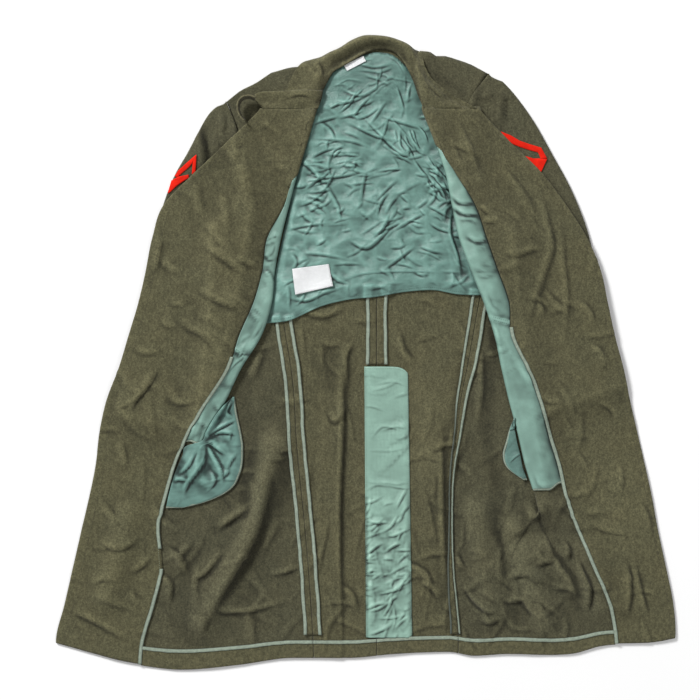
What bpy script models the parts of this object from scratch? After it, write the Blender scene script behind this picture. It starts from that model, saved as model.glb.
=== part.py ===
"""Wool overcoat lying open on its back, its fronts turned outwards over the sleeves.

The coat lies on the plane z = 0, neck towards +Y, its inside facing up. Every length in this script is
in millimetres until a mesh is made. "Right" and "left" are the wearer's, so the right front lies on the
-X side. Each panel is a grid of points, rows running from neck to hem and columns from the side-back
seam to the front edge. Panels are laid one on another with a height raster, and whatever is sewn on a
panel is made from that panel's points, moved out along its normals.
"""
import math

import bpy
import numpy as np

MM = 0.001
TINY = 1e-9

# Cloth
WOOL = 2.0            # thickness of the coating cloth
SATIN = 1.0           # thickness of the lining satin
TAPE = 1.0            # thickness of the binding tape, labels and chevrons
POCKET_CLOTH = 2.0    # two layers of satin
COLLAR_CLOTH = 3.0    # two layers of coating cloth, sewn together
SEAM_GAP = 0.3        # between pieces that are sewn together
LAY_GAP = 0.8         # between pieces that only lie on each other
EDGE_GAP = 0.6        # between the cut edges of neighbouring pieces

# Lengths along the coat (y)
GORGE_Y = 448.0       # first row of the turned-out fronts
HEM_ROW_Y = -540.0    # upper edge of the turned-up hem, before the hem's own curve
HEM_Y = -570.0        # mean height of the hem
HEM_CURVE_FROM = -330.0  # below this the rows bend towards the hem's own line
MAIN_ROWS = 25        # rows between the gorge and the top of the turned-up hem
SHOULDER_ROWS = 2     # rows between the gorge and the shoulder seam
CENTRE_X = 21.0       # centre-back seam
PIT_Y = 216.0         # foot of the armhole
PIT_ROW = SHOULDER_ROWS + 6   # first row below the armhole

# Column counts of a front, from the side-back seam to the front edge
FLOOR_CELLS = 3       # lies on the ground, inside up
TURN_CELLS = 3        # one U-turn of the folded front
MIDDLE_CELLS = 4      # lies outside up
STRIP_CELLS = 2       # front lining between fold and facing
FACING_CELLS = 5      # wool facing, turned outwards
SIDE = FLOOR_CELLS
MIDDLE = SIDE + TURN_CELLS
FOLD = MIDDLE + MIDDLE_CELLS
TOP = FOLD + TURN_CELLS
INNER = TOP + STRIP_CELLS
EDGE = INNER + FACING_CELLS
BACK_CELLS = 6

# Shares of an open row's width from the seam to the facing, for each part's columns
OPEN_SHARES = (1.2,) * FLOOR_CELLS + (0.6,) * TURN_CELLS + (0.9,) * MIDDLE_CELLS \
    + (0.6,) * TURN_CELLS + (0.8,) * STRIP_CELLS

TURN_RADIUS = 4.0     # how far a fold bulges past its line, in plan
TURN_SHARES = (0.25, 0.75)    # heights of a U-turn's two inner points
LEAST_STRIP = 3.0     # least width of cloth between fold and facing
BINDING_WIDTH = 6.5   # width of the tape that shows along a bound edge
ALLOWANCE_ROWS = 10
SLEEVE_HOLLOW = 3.0   # gap inside the flattened sleeve
SLEEVE_CELLS = 4      # columns of each of a sleeve's two layers
SLEEVE_ROWS = 14
SLEEVE_HEAD_ROWS = 4  # rows over which the sleeve head's curve fades

# One row for each section across the coat, measured at that y
FRONT_COLUMNS = ("y", "edge", "facing", "fold", "side", "seam")
FRONT_RIGHT = (
    (450, -191, -92, -92, -280, -214),
    (390, -251, -110, -110, -280, -214),
    (330, -316, -128, -128, -280, -214),
    (270, -379, -151, -144, -280, -214),
    (210, -395, -183, -159, -280, -197),
    (150, -405, -192, -170, -281, -172),
    (90, -419, -209, -176, -283, -157),
    (30, -437, -235, -195, -288, -148),
    (-30, -455, -254, -232, -293, -138),
    (-90, -478, -291, -261, -301, -132),
    (-150, -492, -325, -296, -313, -129),
    (-210, -499, -352, -314, -325, -124),
    (-270, -511, -370, -314, -325, -118),
    (-330, -525, -383, -314, -325, -112),
    (-400, -541, -377, -314, -325, -106),
    (-470, -557, -393, -314, -325, -101),
    (-540, -573, -413, -314, -325, -97),
    (-590, -573, -418, -314, -325, -95),
)
FRONT_LEFT = (
    (450, 207, 110, 106, 267, 258),
    (390, 264, 133, 130, 267, 258),
    (330, 325, 166, 150, 267, 258),
    (270, 371, 203, 162, 267, 258),
    (210, 409, 224, 175, 267, 248),
    (150, 434, 245, 197, 271, 225),
    (90, 447, 266, 221, 276, 211),
    (30, 460, 270, 241, 286, 200),
    (-30, 476, 298, 254, 295, 189),
    (-90, 489, 322, 268, 304, 177),
    (-150, 503, 338, 284, 313, 170),
    (-210, 517, 357, 298, 322, 162),
    (-270, 530, 371, 316, 331, 159),
    (-330, 541, 393, 323, 334, 159),
    (-400, 556, 422, 323, 334, 161),
    (-470, 570, 451, 323, 334, 167),
    (-525, 574, 463, 323, 334, 172),
    (-570, 556, 465, 323, 334, 173),
)

# Armhole: the front's and back's outer boundary above the side, from the shoulder tip to the pit
ARMHOLE_COLUMNS = ("y", "x")
ARMHOLE_RIGHT = ((463, -258), (438, -247), (404, -236), (354, -225), (299, -219), (216, -280))
ARMHOLE_LEFT = ((515, 228), (467, 193), (391, 179), (317, 175), (270, 186), (216, 267))
BACK_ARMHOLE_RIGHT = ((463, -258), (438, -247), (404, -236), (354, -225), (299, -219), (243, -214))
BACK_ARMHOLE_LEFT = ((515, 228), (467, 200), (391, 192), (317, 205), (270, 232), (240, 258))

# Shoulder seams as (x, y) points from the neck to the shoulder tip, one for each column
SHOULDER_RIGHT = ((-88, 506), (-125, 525), (-172, 511), (-218, 488), (-258, 463))
SHOULDER_LEFT = ((100, 524), (113, 554), (150, 548), (193, 534), (228, 515))
# Upper edge of each half of the back as (x, y) points: neck, then shoulder seam
NECK_RIGHT = ((21, 549), (-14, 539), (-50, 516), (-88, 505), (-130, 522), (-195, 500), (-258, 463))
NECK_LEFT = ((21, 549), (50, 544), (75, 519), (100, 524), (114, 554), (172, 541), (228, 515))

HEM_LINE_COLUMNS = ("x", "y")
HEM_LINE = (
    (-575, -541), (-521, -556), (-443, -576), (-339, -589), (-236, -580), (-132, -567), (-29, -567),
    (49, -560), (153, -556), (204, -563), (256, -560), (386, -559), (438, -545), (541, -539), (575, -532),
)

# Sleeves, flattened: outer and inner fold, from the armhole to the cuff
SLEEVE_COLUMNS = ("outer_x", "outer_y", "inner_x", "inner_y")
SLEEVE_RIGHT = (
    (-261, 463, -220, 300),
    (-291, 438, -216, 268),
    (-325, 376, -218, 232),
    (-358, 317, -224, 190),
    (-384, 240, -234, 130),
    (-404, 150, -247, 70),
    (-420, 60, -264, 5),
    (-438, -30, -286, -70),
    (-456, -112, -313, -150),
)
SLEEVE_LEFT = (
    (231, 516, 176, 317),
    (273, 480, 176, 280),
    (311, 428, 181, 246),
    (346, 366, 191, 196),
    (382, 299, 208, 135),
    (412, 222, 234, 72),
    (434, 125, 262, 15),
    (452, 30, 298, -48),
    (472, -62, 333, -108),
)

# Collar: neck seam, outer edge and how the section lies, from the right gorge round to the left one.
# "over" lies on the shoulder, "rim" stands on the shoulder seam, "under" rolls back below the neck.
COLLAR_COLUMNS = ("lies", "neck_x", "neck_y", "roll_x", "roll_y", "edge_x", "edge_y", "lift")
COLLAR = (
    ("over", -88, 449, -120, 449, -189, 449, 1),
    ("over", -82, 465, -118, 466, -205, 467, 3),
    ("over", -79, 480, -116, 481, -199, 479, 5),
    ("over", -78, 485, -105, 484, -152, 482, 0),
    ("over", -71, 499, -92, 501, -140, 503, 0),
    ("over", -60, 517, -83, 526, -122, 531, 1),
    ("rim", -49, 525, -71, 550, -97, 540, 5),
    ("under", -36, 532, -47, 562, -50, 512, 0),
    ("under", -18, 543, -23, 577, -22, 500, 0),
    ("under", 5, 556, 3, 585, 4, 492, 0),
    ("under", 27, 561, 29, 584, 28, 492, 0),
    ("under", 49, 558, 56, 578, 47, 503, 0),
    ("rim", 66, 543, 84, 563, 97, 553, 5),
    ("over", 79, 521, 94, 528, 110, 527, 2),
    ("over", 90, 497, 107, 501, 127, 501, 2),
    ("over", 97, 475, 120, 478, 160, 477, 2),
    ("over", 107, 449, 140, 449, 206, 449, 1),
)
COLLAR_CELLS = 6
COLLAR_UNDER_CELLS = 4    # first column of the part that rolls back below the neck
# How the collar's points share the way from neck seam over the roll to the edge (0 neck, 1 roll, 2 edge),
# and their heights above what the neck seam rests on
COLLAR_SHAPES = {
    "under": ((0, 0.45, 0.82, 1, 0.82, 1.55, 2), (0, 11, 17, 10, 1.5, 1.5, 1.5)),
    "rim": ((0, 0.45, 0.85, 1, 1.35, 1.7, 2), (0, 11, 16, 11, 6, 3, 1.5)),
    "over": ((0, 0.5, 1, 1.25, 1.5, 1.75, 2), (0, 4, 5, 3, 1, 0, 0)),
}

# Curled point of the collar's right end: part of an upright oval ring that widens upwards
TIP_CENTRE = (-216.4, 448.6)
TIP_HALF_WIDTH = 20.0
TIP_HALF_LENGTH = 24.0
TIP_FROM, TIP_TO = 50.0, 250.0    # degrees from +X
TIP_POINTS = 12
TIP_FOOT = 14.0
TIP_HEIGHT = 15.0
TIP_ROWS = ((0.0, 0.86), (0.55, 0.96), (1.0, 1.0))    # (share of the height, share of the width)

# Half-back lining: its own outline, left to right
LINING_COLUMNS = ("top_x", "top_y", "hem_x", "hem_y")
LINING = (
    (-70, 508, -186, 52), (-53, 523, -140, 58), (-30, 537, -84, 83), (-4, 550, -32, 96),
    (22, 555, 18, 101), (46, 552, 70, 110), (64, 540, 122, 114), (79, 523, 172, 106), (92, 498, 222, 104),
)
LINING_ROWS = 12
LINING_WIDENING = 0.75    # the lining widens quickly below the neck

# Seams pressed open: upper and lower end, and width of each allowance
CENTRE_SEAM = ((120, -24), 18.0)
SIDE_RIGHT_SEAM = ((62, -526), 15.0)
SIDE_LEFT_SEAM = ((112, -524), 15.0)

# The vent stay and the labels
STAY_ENDS = (-28, -526)
STAY_EDGES = (-2, 82)
CARE_LABEL = ((-136, 153), (-68, 162), (-60, 121), (-130, 105))
NECK_LABEL = ((-40, 530), (-4, 548), (1, 538), (-34, 520))

# Chevrons as bent bands: outer and inner line of (x, y) points
CHEVRON_RIGHT = (((-361, 309), (-315, 364), (-303, 300)), ((-345, 285), (-322, 322), (-318, 285)))
CHEVRON_LEFT = (((251, 406), (340, 369), (300, 300)), ((263, 375), (300, 350), (275, 300)))

# Pocket bags that hang out from under the folds
POCKET_COLUMNS = ("y", "near", "far")
POCKET_CELLS = 4
POCKET_RIGHT = (
    (-84, -249, -244), (-112, -264, -240), (-150, -283, -232), (-187, -309, -228), (-191, -338, -228),
    (-228, -354, -234), (-258, -363, -254), (-280, -368, -300), (-290, -370, -340),
)
POCKET_LEFT = (
    (-123, 274, 277), (-145, 277, 268), (-167, 281, 262), (-191, 287, 256), (-216, 292, 264),
    (-238, 300, 293),
)

# Where each front's fold opens out into one layer, where its lining strip starts and ends, and where the
# tape on the facing's inner edge starts (y)
OPENING_COLUMNS = ("relax_from", "relax_to", "strip_from", "strip_to", "tape_from")
OPENING_RIGHT = (-200, -330, 332, -190, 20)
OPENING_LEFT = (-270, -400, 372, -265, 55)

# Folds of the skirt: crest from (x0, y0) to (x1, y1), height and half width
RIDGE_COLUMNS = ("x0", "y0", "x1", "y1", "height", "half_width")
RIDGES = (
    (-172, -175, -196, -310, 9, 26),
    (-196, -310, -300, -500, 8, 28),
    (205, -300, 232, -480, 8, 26),
    (275, -330, 330, -500, 7, 24),
    (390, -300, 440, -470, 6, 26),
    (-430, -250, -480, -450, 6, 26),
)
LEAST_RIDGE = 0.4     # lower relief than this is laid flat


def tidy_scene():
    """Empty the scene and make the coat's collection."""
    for thing in list(bpy.data.objects):
        bpy.data.objects.remove(thing, do_unlink=True)
    group = bpy.data.collections.new("wool_overcoat")
    bpy.context.scene.collection.children.link(group)
    return group


def cloth(name, colour, roughness):
    """One Principled material."""
    material = bpy.data.materials.new(name)
    material.use_nodes = True
    shader = material.node_tree.nodes["Principled BSDF"]
    shader.inputs["Base Color"].default_value = (*colour, 1.0)
    shader.inputs["Roughness"].default_value = roughness
    shader.inputs["Metallic"].default_value = 0.0
    return material


def named(columns, rows):
    """A table as one array for each named column."""
    return {name: np.array([row[i] for row in rows]) for i, name in enumerate(columns)}


def curve(stations, values):
    """Smooth curve through the given stations that never overshoots them."""
    order = np.argsort(stations)
    s = np.asarray(stations, float)[order]
    v = np.asarray(values, float)[order]
    step = np.diff(s)
    rise = np.diff(v) / step
    slope = np.zeros(len(s))
    slope[1:-1] = (rise[:-1] + rise[1:]) / 2
    slope[0], slope[-1] = rise[0], rise[-1]
    flat = rise[:-1] * rise[1:] <= 0
    slope[1:-1][flat] = 0

    def at(x):
        x = np.clip(x, s[0], s[-1])
        i = np.clip(np.searchsorted(s, x) - 1, 0, len(step) - 1)
        h = step[i]
        t = (x - s[i]) / h
        return ((2 * t**3 - 3 * t**2 + 1) * v[i] + (t**3 - 2 * t**2 + t) * h * slope[i]
                + (3 * t**2 - 2 * t**3) * v[i + 1] + (t**3 - t**2) * h * slope[i + 1])
    return at


def ease(x):
    """0 to 1 with level ends."""
    x = np.clip(x, 0, 1)
    return x * x * (3 - 2 * x)


def blend(a, b, t):
    return a + (b - a) * t


def relief(x, y):
    """Height of the skirt's large folds above the ground."""
    height = np.zeros(np.shape(x))
    for row in RIDGES:
        ridge = dict(zip(RIDGE_COLUMNS, row))
        along = np.array([ridge["x1"] - ridge["x0"], ridge["y1"] - ridge["y0"]], float)
        length = np.hypot(*along)
        along /= length
        dx, dy = x - ridge["x0"], y - ridge["y0"]
        s = dx * along[0] + dy * along[1]
        across = dx * along[1] - dy * along[0]
        ends = np.maximum(np.maximum(-s, s - length), 0)
        swell = np.exp(-(across**2 + ends**2) / ridge["half_width"]**2)
        height = np.maximum(height, ridge["height"] * swell)
    return np.where(height < LEAST_RIDGE, 0, height)


class Heap:
    """Height of all that has been laid so far, on a square raster."""
    CELL = 4.0
    HALF = 640.0
    SLIVER = 4.0          # doubled area below which a triangle counts as a point
    REACH = 0.75          # raster cells beyond a triangle's sides that still count as covered
    STEEPEST = 0.4        # least upright share of a normal when a wall's upper side is worked out

    def __init__(self):
        size = int(2 * self.HALF / self.CELL)
        self.top = np.zeros((size, size))

    def cells(self, corners):
        """Raster cells that a triangle covers in plan, with its corners' weights at each."""
        low = np.floor((corners.min(axis=0) + self.HALF) / self.CELL - 1).astype(int)
        high = np.ceil((corners.max(axis=0) + self.HALF) / self.CELL + 1).astype(int)
        ix, iy = np.meshgrid(np.arange(low[0], high[0]), np.arange(low[1], high[1]))
        px = (ix + 0.5) * self.CELL - self.HALF
        py = (iy + 0.5) * self.CELL - self.HALF
        a, b, c = corners
        ab, ac = b - a, c - a
        area = ab[0] * ac[1] - ab[1] * ac[0]
        if abs(area) < self.SLIVER:
            centre = corners.mean(axis=0)
            near = np.hypot(px - centre[0], py - centre[1]) < self.CELL
            return ix[near], iy[near], np.full((near.sum(), 3), 1 / 3)
        wb = ((px - a[0]) * ac[1] - (py - a[1]) * ac[0]) / area
        wc = (ab[0] * (py - a[1]) - ab[1] * (px - a[0])) / area
        weights = np.stack([1 - wb - wc, wb, wc], axis=-1)
        sides = np.array([np.hypot(*(c - b)), np.hypot(*ac), np.hypot(*ab)])
        slack = self.REACH * self.CELL * sides / abs(area)
        inside = (weights > -slack).all(axis=-1)
        weights = np.clip(weights[inside], 0, 1)
        return ix[inside], iy[inside], weights / weights.sum(axis=-1, keepdims=True)

    def highest(self, corners):
        """Highest point under a triangle."""
        ix, iy, _ = self.cells(corners)
        return self.top[iy, ix].max() if len(ix) else 0.0

    def cover(self, points, mask, wall):
        """Add a laid wall's upper side."""
        for corners in triangles(points, mask):
            normal = np.cross(corners[1] - corners[0], corners[2] - corners[0])
            upright = max(abs(normal[2]) / (np.linalg.norm(normal) + TINY), self.STEEPEST)
            ix, iy, weights = self.cells(corners[:, :2])
            z = weights @ corners[:, 2] + wall / 2 / upright
            self.top[iy, ix] = np.maximum(self.top[iy, ix], z)

    def settle(self, points, mask, wall, below=0.0, gap=LAY_GAP):
        """Rest a sheet on the heap: each point lies above all that its triangles cover."""
        base = np.zeros(points.shape[:2])
        for i, j in zip(*np.nonzero(mask)):
            for tri in cell_triangles(i, j):
                corners = np.array([points[r, c, :2] for r, c in tri])
                height = self.highest(corners)
                for r, c in tri:
                    base[r, c] = max(base[r, c], height)
        points[..., 2] = base + wall / 2 + np.where(base > 0, gap + below, 0)
        return points


def cell_triangles(i, j):
    """A cell's two triangles as (row, column) corners."""
    return (((i, j), (i + 1, j), (i + 1, j + 1)), ((i, j), (i + 1, j + 1), (i, j + 1)))


def triangles(points, mask):
    """Every triangle of the marked cells, as corner points."""
    for i, j in zip(*np.nonzero(mask)):
        for tri in cell_triangles(i, j):
            yield np.array([points[r, c] for r, c in tri])


def whole(points):
    """A mask that marks every cell of a grid."""
    return np.ones((points.shape[0] - 1, points.shape[1] - 1), bool)


def normals(points, mask):
    """Unit normal at each point of a grid, from the marked cells round it."""
    total = np.zeros(points.shape)
    for i, j in zip(*np.nonzero(mask)):
        for tri in cell_triangles(i, j):
            p = [points[r, c] for r, c in tri]
            face = np.cross(p[1] - p[0], p[2] - p[0])
            face = face / (np.linalg.norm(face) + TINY)
            for k in range(3):
                u = p[(k + 1) % 3] - p[k]
                v = p[(k + 2) % 3] - p[k]
                cosine = u @ v / (np.linalg.norm(u) * np.linalg.norm(v) + TINY)
                total[tri[k]] += face * math.acos(max(-1, min(1, cosine)))
    length = np.linalg.norm(total, axis=-1, keepdims=True)
    return np.where(length > 0, total / np.maximum(length, TINY), 0)


def moved_out(points, mask, distance, up):
    """A grid moved along its normals; up is 1 where the coat's inside is the normals' side."""
    return points + normals(points, mask) * distance * up


def wall(name, points, mask, thickness, material, ring=False):
    """Marked cells of a grid as an open sheet, made a closed wall with Solidify."""
    index = {}
    verts = []
    faces = []
    last = points.shape[1] - 1
    for i, j in zip(*np.nonzero(mask)):
        for tri in cell_triangles(i, j):
            face = []
            for r, c in tri:
                key = (r, 0) if ring and c == last else (r, c)
                if key not in index:
                    index[key] = len(verts)
                    verts.append(points[key] * MM)
                face.append(index[key])
            faces.append(face)
    mesh = bpy.data.meshes.new(name)
    mesh.from_pydata([tuple(v) for v in verts], [], faces)
    mesh.update()
    mesh.shade_smooth()
    mesh.materials.append(material)
    thing = bpy.data.objects.new(name, mesh)
    COAT.objects.link(thing)
    solid = thing.modifiers.new("cloth thickness", "SOLIDIFY")
    solid.thickness = thickness * MM
    solid.offset = 0.0
    solid.use_even_offset = False
    return thing


def row_heights():
    """Nominal y of the rows from the gorge down to the hem."""
    main = np.linspace(GORGE_Y, HEM_ROW_Y, MAIN_ROWS + 1)
    return np.append(main, HEM_Y)


def hem_curve(x, y):
    """Bend the rows of the skirt to the hem's own line."""
    line = named(HEM_LINE_COLUMNS, HEM_LINE)
    share = np.clip((HEM_CURVE_FROM - y) / (HEM_CURVE_FROM - HEM_Y), 0, 1)
    return y + share**2 * (np.interp(x, line["x"], line["y"]) - HEM_Y)


class Front:
    """One front with its S-fold, from the side-back seam to the front edge."""

    def __init__(self, side, table, armhole, shoulder, sleeve, opening):
        self.side = side
        columns = named(FRONT_COLUMNS, table)
        self.at = {name: curve(columns["y"], columns[name]) for name in FRONT_COLUMNS[1:]}
        hole = named(ARMHOLE_COLUMNS, armhole)
        self.armhole = curve(hole["y"], hole["x"])
        self.out = -1 if side == "right" else 1
        self.shoulder = shoulder
        self.sleeve = named(SLEEVE_COLUMNS, sleeve)
        self.opening = dict(zip(OPENING_COLUMNS, opening))
        self.plan()
        strip = [n for n, y in enumerate(row_heights())
                 if self.opening["strip_to"] <= y <= self.opening["strip_from"]]
        self.strip_first = SHOULDER_ROWS + strip[0]
        self.strip_last = SHOULDER_ROWS + strip[-1]
        self.tape_first = SHOULDER_ROWS + int(np.argmax(row_heights() <= self.opening["tape_from"]))

    def relaxed(self, y):
        """0 where the front is folded, 1 where it lies open in one layer."""
        start, end = self.opening["relax_from"], self.opening["relax_to"]
        return ease((start - y) / (start - end))

    def folded_row(self, y):
        """Plan positions of a row whose front lies in an S."""
        out = self.out
        seam = self.at["seam"](y) + out * EDGE_GAP / 2
        side = self.at["side"](y)
        fold = self.at["fold"](y) + out * TURN_RADIUS
        inner = self.at["facing"](y)
        edge = self.at["edge"](y)
        turned = side - out * TURN_RADIUS
        middle = turned if y < PIT_Y else self.armhole(y)
        inner = fold + out * max(LEAST_STRIP, out * (inner - fold))
        x = np.zeros(EDGE + 1)
        x[:SIDE + 1] = np.linspace(seam, turned, FLOOR_CELLS + 1)
        x[SIDE + 1:MIDDLE] = side
        x[MIDDLE:FOLD + 1] = np.linspace(middle, fold, MIDDLE_CELLS + 1)
        x[FOLD + 1:TOP] = fold - out * TURN_RADIUS
        x[TOP:INNER + 1] = np.linspace(fold, inner, STRIP_CELLS + 1)
        x[INNER:] = np.linspace(inner, edge, FACING_CELLS + 1)
        return x

    def open_row(self, y):
        """Plan positions of a row that lies open in one layer."""
        seam = self.at["seam"](y) + self.out * EDGE_GAP / 2
        inner = self.at["facing"](y)
        run = np.concatenate([[0], np.cumsum(OPEN_SHARES)]) / sum(OPEN_SHARES)
        x = np.zeros(EDGE + 1)
        x[:INNER + 1] = blend(seam, inner, run)
        x[INNER:] = np.linspace(inner, self.at["edge"](y), FACING_CELLS + 1)
        return x

    def row(self, y):
        """Plan positions of a row, between folded and open."""
        return blend(self.folded_row(y), self.open_row(y), self.relaxed(y))

    def plan(self):
        """Plan positions of every point, and the mask of the cells that exist."""
        heights = row_heights()
        rows = SHOULDER_ROWS + len(heights)
        grid = np.zeros((rows, EDGE + 1, 3))
        for n, y in enumerate(heights):
            line = self.row(y)
            bent = hem_curve(line, y)
            for _ in range(2 if y < HEM_CURVE_FROM else 0):
                line = np.array([self.row(v)[k] for k, v in enumerate(bent)])
                bent = hem_curve(line, y)
            grid[SHOULDER_ROWS + n, :, 0] = line
            grid[SHOULDER_ROWS + n, :, 1] = bent
        first = grid[SHOULDER_ROWS, MIDDLE:FOLD + 1, :2].copy()
        seam = np.array(self.shoulder[::-1], float)
        for n in range(SHOULDER_ROWS):
            grid[n, MIDDLE:FOLD + 1, :2] = blend(seam, first, n / SHOULDER_ROWS)
        self.grid = grid
        mask = np.ones((rows - 1, EDGE), bool)
        mask[:SHOULDER_ROWS, FOLD:] = False
        mask[:PIT_ROW, :MIDDLE] = False
        self.mask = mask

    def part(self, first, last):
        """Mask of the columns from first to last."""
        keep = self.mask.copy()
        keep[:, :first] = False
        keep[:, last:] = False
        return keep

    def raise_columns(self, heap, first, last, below):
        """Rest the columns from first to last on the heap, or on the ground where the front is open."""
        trial = heap.settle(self.grid.copy(), self.part(first, last), WOOL, below=below)
        columns = slice(first, last + 1)
        t = self.relaxed(self.grid[:, columns, 1])
        self.grid[:, columns, 2] = blend(trial[:, columns, 2], self.ground[:, columns], t)

    def lay_floor(self, heap):
        """The part on the ground, and below the fold's end the whole open front."""
        self.ground = WOOL / 2 + relief(self.grid[..., 0], self.grid[..., 1])
        self.grid[..., 2] = self.ground
        heap.cover(self.grid, self.part(0, SIDE), WOOL)

    def lay_middle(self, heap):
        """The part that lies outside up, between the two folds."""
        self.raise_columns(heap, MIDDLE, FOLD, below=SATIN + 2 * SEAM_GAP)
        self.turn(SIDE, MIDDLE)
        heap.cover(self.grid, self.part(SIDE, FOLD), WOOL)

    def lay_top(self, heap):
        """The part turned outwards over the sleeve."""
        self.raise_columns(heap, TOP, EDGE, below=0.0)
        for column in range(INNER - 1, TOP - 1, -1):
            width = np.abs(self.grid[:, column + 1, 0] - self.grid[:, column, 0])
            self.grid[:, column, 2] = np.maximum(self.grid[:, column, 2], self.grid[:, column + 1, 2] - width)
        self.turn(FOLD, TOP)
        heap.cover(self.grid, self.part(FOLD, EDGE), WOOL)

    def turn(self, first, last):
        """Heights of a U-turn's inner points."""
        low, high = self.grid[:, first, 2], self.grid[:, last, 2]
        for column, share in zip(range(first + 1, last), TURN_SHARES):
            t = self.relaxed(self.grid[:, column, 1])
            self.grid[:, column, 2] = blend(blend(low, high, share), self.ground[:, column], t)

    def make(self):
        """The front's wall, and what is sewn on its inside."""
        side = self.side
        wall("front_" + side, self.grid, self.mask, WOOL, WOOL_CLOTH)
        up = self.out
        top = WOOL + SEAM_GAP
        strip_first, strip_last = self.strip_first, self.strip_last
        # Facing: wraps the fold above the lining strip, and starts beside the strip below it
        facing = self.mask.copy()
        facing[:SHOULDER_ROWS] = False
        facing[:, :FOLD] = False
        facing[strip_first:, :INNER] = False
        facing_grid = moved_out(self.grid, self.mask, top, up)
        wall("facing_" + side, facing_grid, facing, WOOL, WOOL_CLOTH)
        # Front lining: from the facing round the fold to the hidden side
        lining_grid = moved_out(self.grid, self.mask, WOOL / 2 + 2 * SEAM_GAP + SATIN / 2, up)
        pull_in(lining_grid[:, INNER], lining_grid[:, INNER - 1], 2 * EDGE_GAP)
        pull_in(lining_grid[strip_first], lining_grid[strip_first + 1], 2 * EDGE_GAP)
        lining = np.zeros_like(self.mask)
        lining[strip_first:strip_last, FOLD - 1:INNER] = True
        wall("lining_front_" + side, lining_grid, lining, SATIN, SATIN_CLOTH)
        # Binding tape along the facing's inner edge
        tape_grid = moved_out(self.grid, self.mask, WOOL * 1.5 + 5 * SEAM_GAP + TAPE / 2, up)
        start, beside = tape_grid[self.tape_first:, INNER], tape_grid[self.tape_first:, INNER + 1]
        share = BINDING_WIDTH / np.linalg.norm(beside - start, axis=-1)
        tape = np.stack([start, blend(start, beside, share[:, None])], axis=1)
        wall("facing_binding_" + side, tape, whole(tape), TAPE, BINDING_CLOTH)
        # Turned-up hem between the side-back seam and the facing
        hem_grid = moved_out(self.grid, self.mask, top, up)
        pull_in(hem_grid[:, INNER], hem_grid[:, INNER - 1], EDGE_GAP)
        hem = np.zeros_like(self.mask)
        hem[-1, :INNER] = True
        wall("hem_front_" + side, hem_grid, hem, WOOL, WOOL_CLOTH)
        hem_tape = moved_out(self.grid, self.mask, WOOL * 1.5 + 2 * SEAM_GAP + TAPE / 2, up)
        pull_in(hem_tape[:, INNER], hem_tape[:, INNER - 1], EDGE_GAP)
        binding_on_hem("hem_binding_front_" + side, hem_tape[:, :INNER + 1])


def pull_in(line, neighbour, distance):
    """Move a line of points towards its neighbour by a set distance."""
    gap = np.linalg.norm(neighbour - line, axis=-1, keepdims=True)
    line += (neighbour - line) * np.minimum(distance / np.maximum(gap, TINY), 0.5)


def binding_on_hem(name, grid):
    """Tape along the upper edge of a turned-up hem; the grid's last two rows are the hem's."""
    upper, lower = grid[-2], grid[-1]
    share = BINDING_WIDTH / np.linalg.norm(lower - upper, axis=-1)
    tape = np.stack([upper, blend(upper, lower, share[:, None])], axis=0)
    wall(name, tape, whole(tape), TAPE, BINDING_CLOTH)


class Back:
    """One half of the back, from the centre-back seam to the side-back seam and armhole."""

    def __init__(self, side, front_table, armhole, neck):
        self.side = side
        self.out = -1 if side == "right" else 1
        columns = named(FRONT_COLUMNS, front_table)
        seam = curve(columns["y"], columns["seam"])
        hole = named(ARMHOLE_COLUMNS, armhole)
        hole_x = curve(hole["y"], hole["x"])
        rows = row_heights()
        grid = np.zeros((SHOULDER_ROWS + len(rows), BACK_CELLS + 1, 3))
        for n, y in enumerate(rows):
            outer = (hole_x(y) if y > hole["y"].min() else seam(y)) - self.out * EDGE_GAP / 2
            centre = CENTRE_X + self.out * EDGE_GAP / 2
            line = np.linspace(centre, outer, BACK_CELLS + 1)
            bent = hem_curve(line, y)
            for _ in range(2):
                if y < HEM_CURVE_FROM:
                    outer = seam(bent[-1]) - self.out * EDGE_GAP / 2
                    line = np.linspace(centre, outer, BACK_CELLS + 1)
                    bent = hem_curve(line, y)
            grid[SHOULDER_ROWS + n, :, 0] = line
            grid[SHOULDER_ROWS + n, :, 1] = bent
        first = grid[SHOULDER_ROWS, :, :2].copy()
        top = np.array(neck, float)
        top[0, 0] += self.out * EDGE_GAP / 2
        for n in range(SHOULDER_ROWS):
            grid[n, :, :2] = blend(top, first, n / SHOULDER_ROWS)
        self.grid = grid

    def lay(self, heap):
        self.grid = heap.settle(self.grid, whole(self.grid), WOOL)

    def make(self):
        mask = whole(self.grid)
        up = self.out
        wall("back_" + self.side, self.grid, mask, WOOL, WOOL_CLOTH)
        hem_grid = moved_out(self.grid, mask, WOOL + SEAM_GAP, up)
        hem = np.zeros_like(mask)
        hem[-1] = True
        wall("hem_back_" + self.side, hem_grid, hem, WOOL, WOOL_CLOTH)
        tape = moved_out(self.grid, mask, WOOL * 1.5 + 2 * SEAM_GAP + TAPE / 2, up)
        binding_on_hem("hem_binding_back_" + self.side, tape)


def lay_strip(name, centre, ends, inner, outer, thickness, material, heap):
    """A narrow strip sewn down along a line x = centre(y)."""
    y = np.linspace(*ends, ALLOWANCE_ROWS + 1)
    x = np.array([float(centre(v)) for v in y])
    grid = np.zeros((ALLOWANCE_ROWS + 1, 2, 3))
    for k, shift in enumerate((inner, outer)):
        grid[:, k, 0] = x + shift
        grid[:, k, 1] = y
    grid = heap.settle(grid, whole(grid), thickness, gap=SEAM_GAP)
    wall(name, grid, whole(grid), thickness, material)
    return grid


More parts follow.
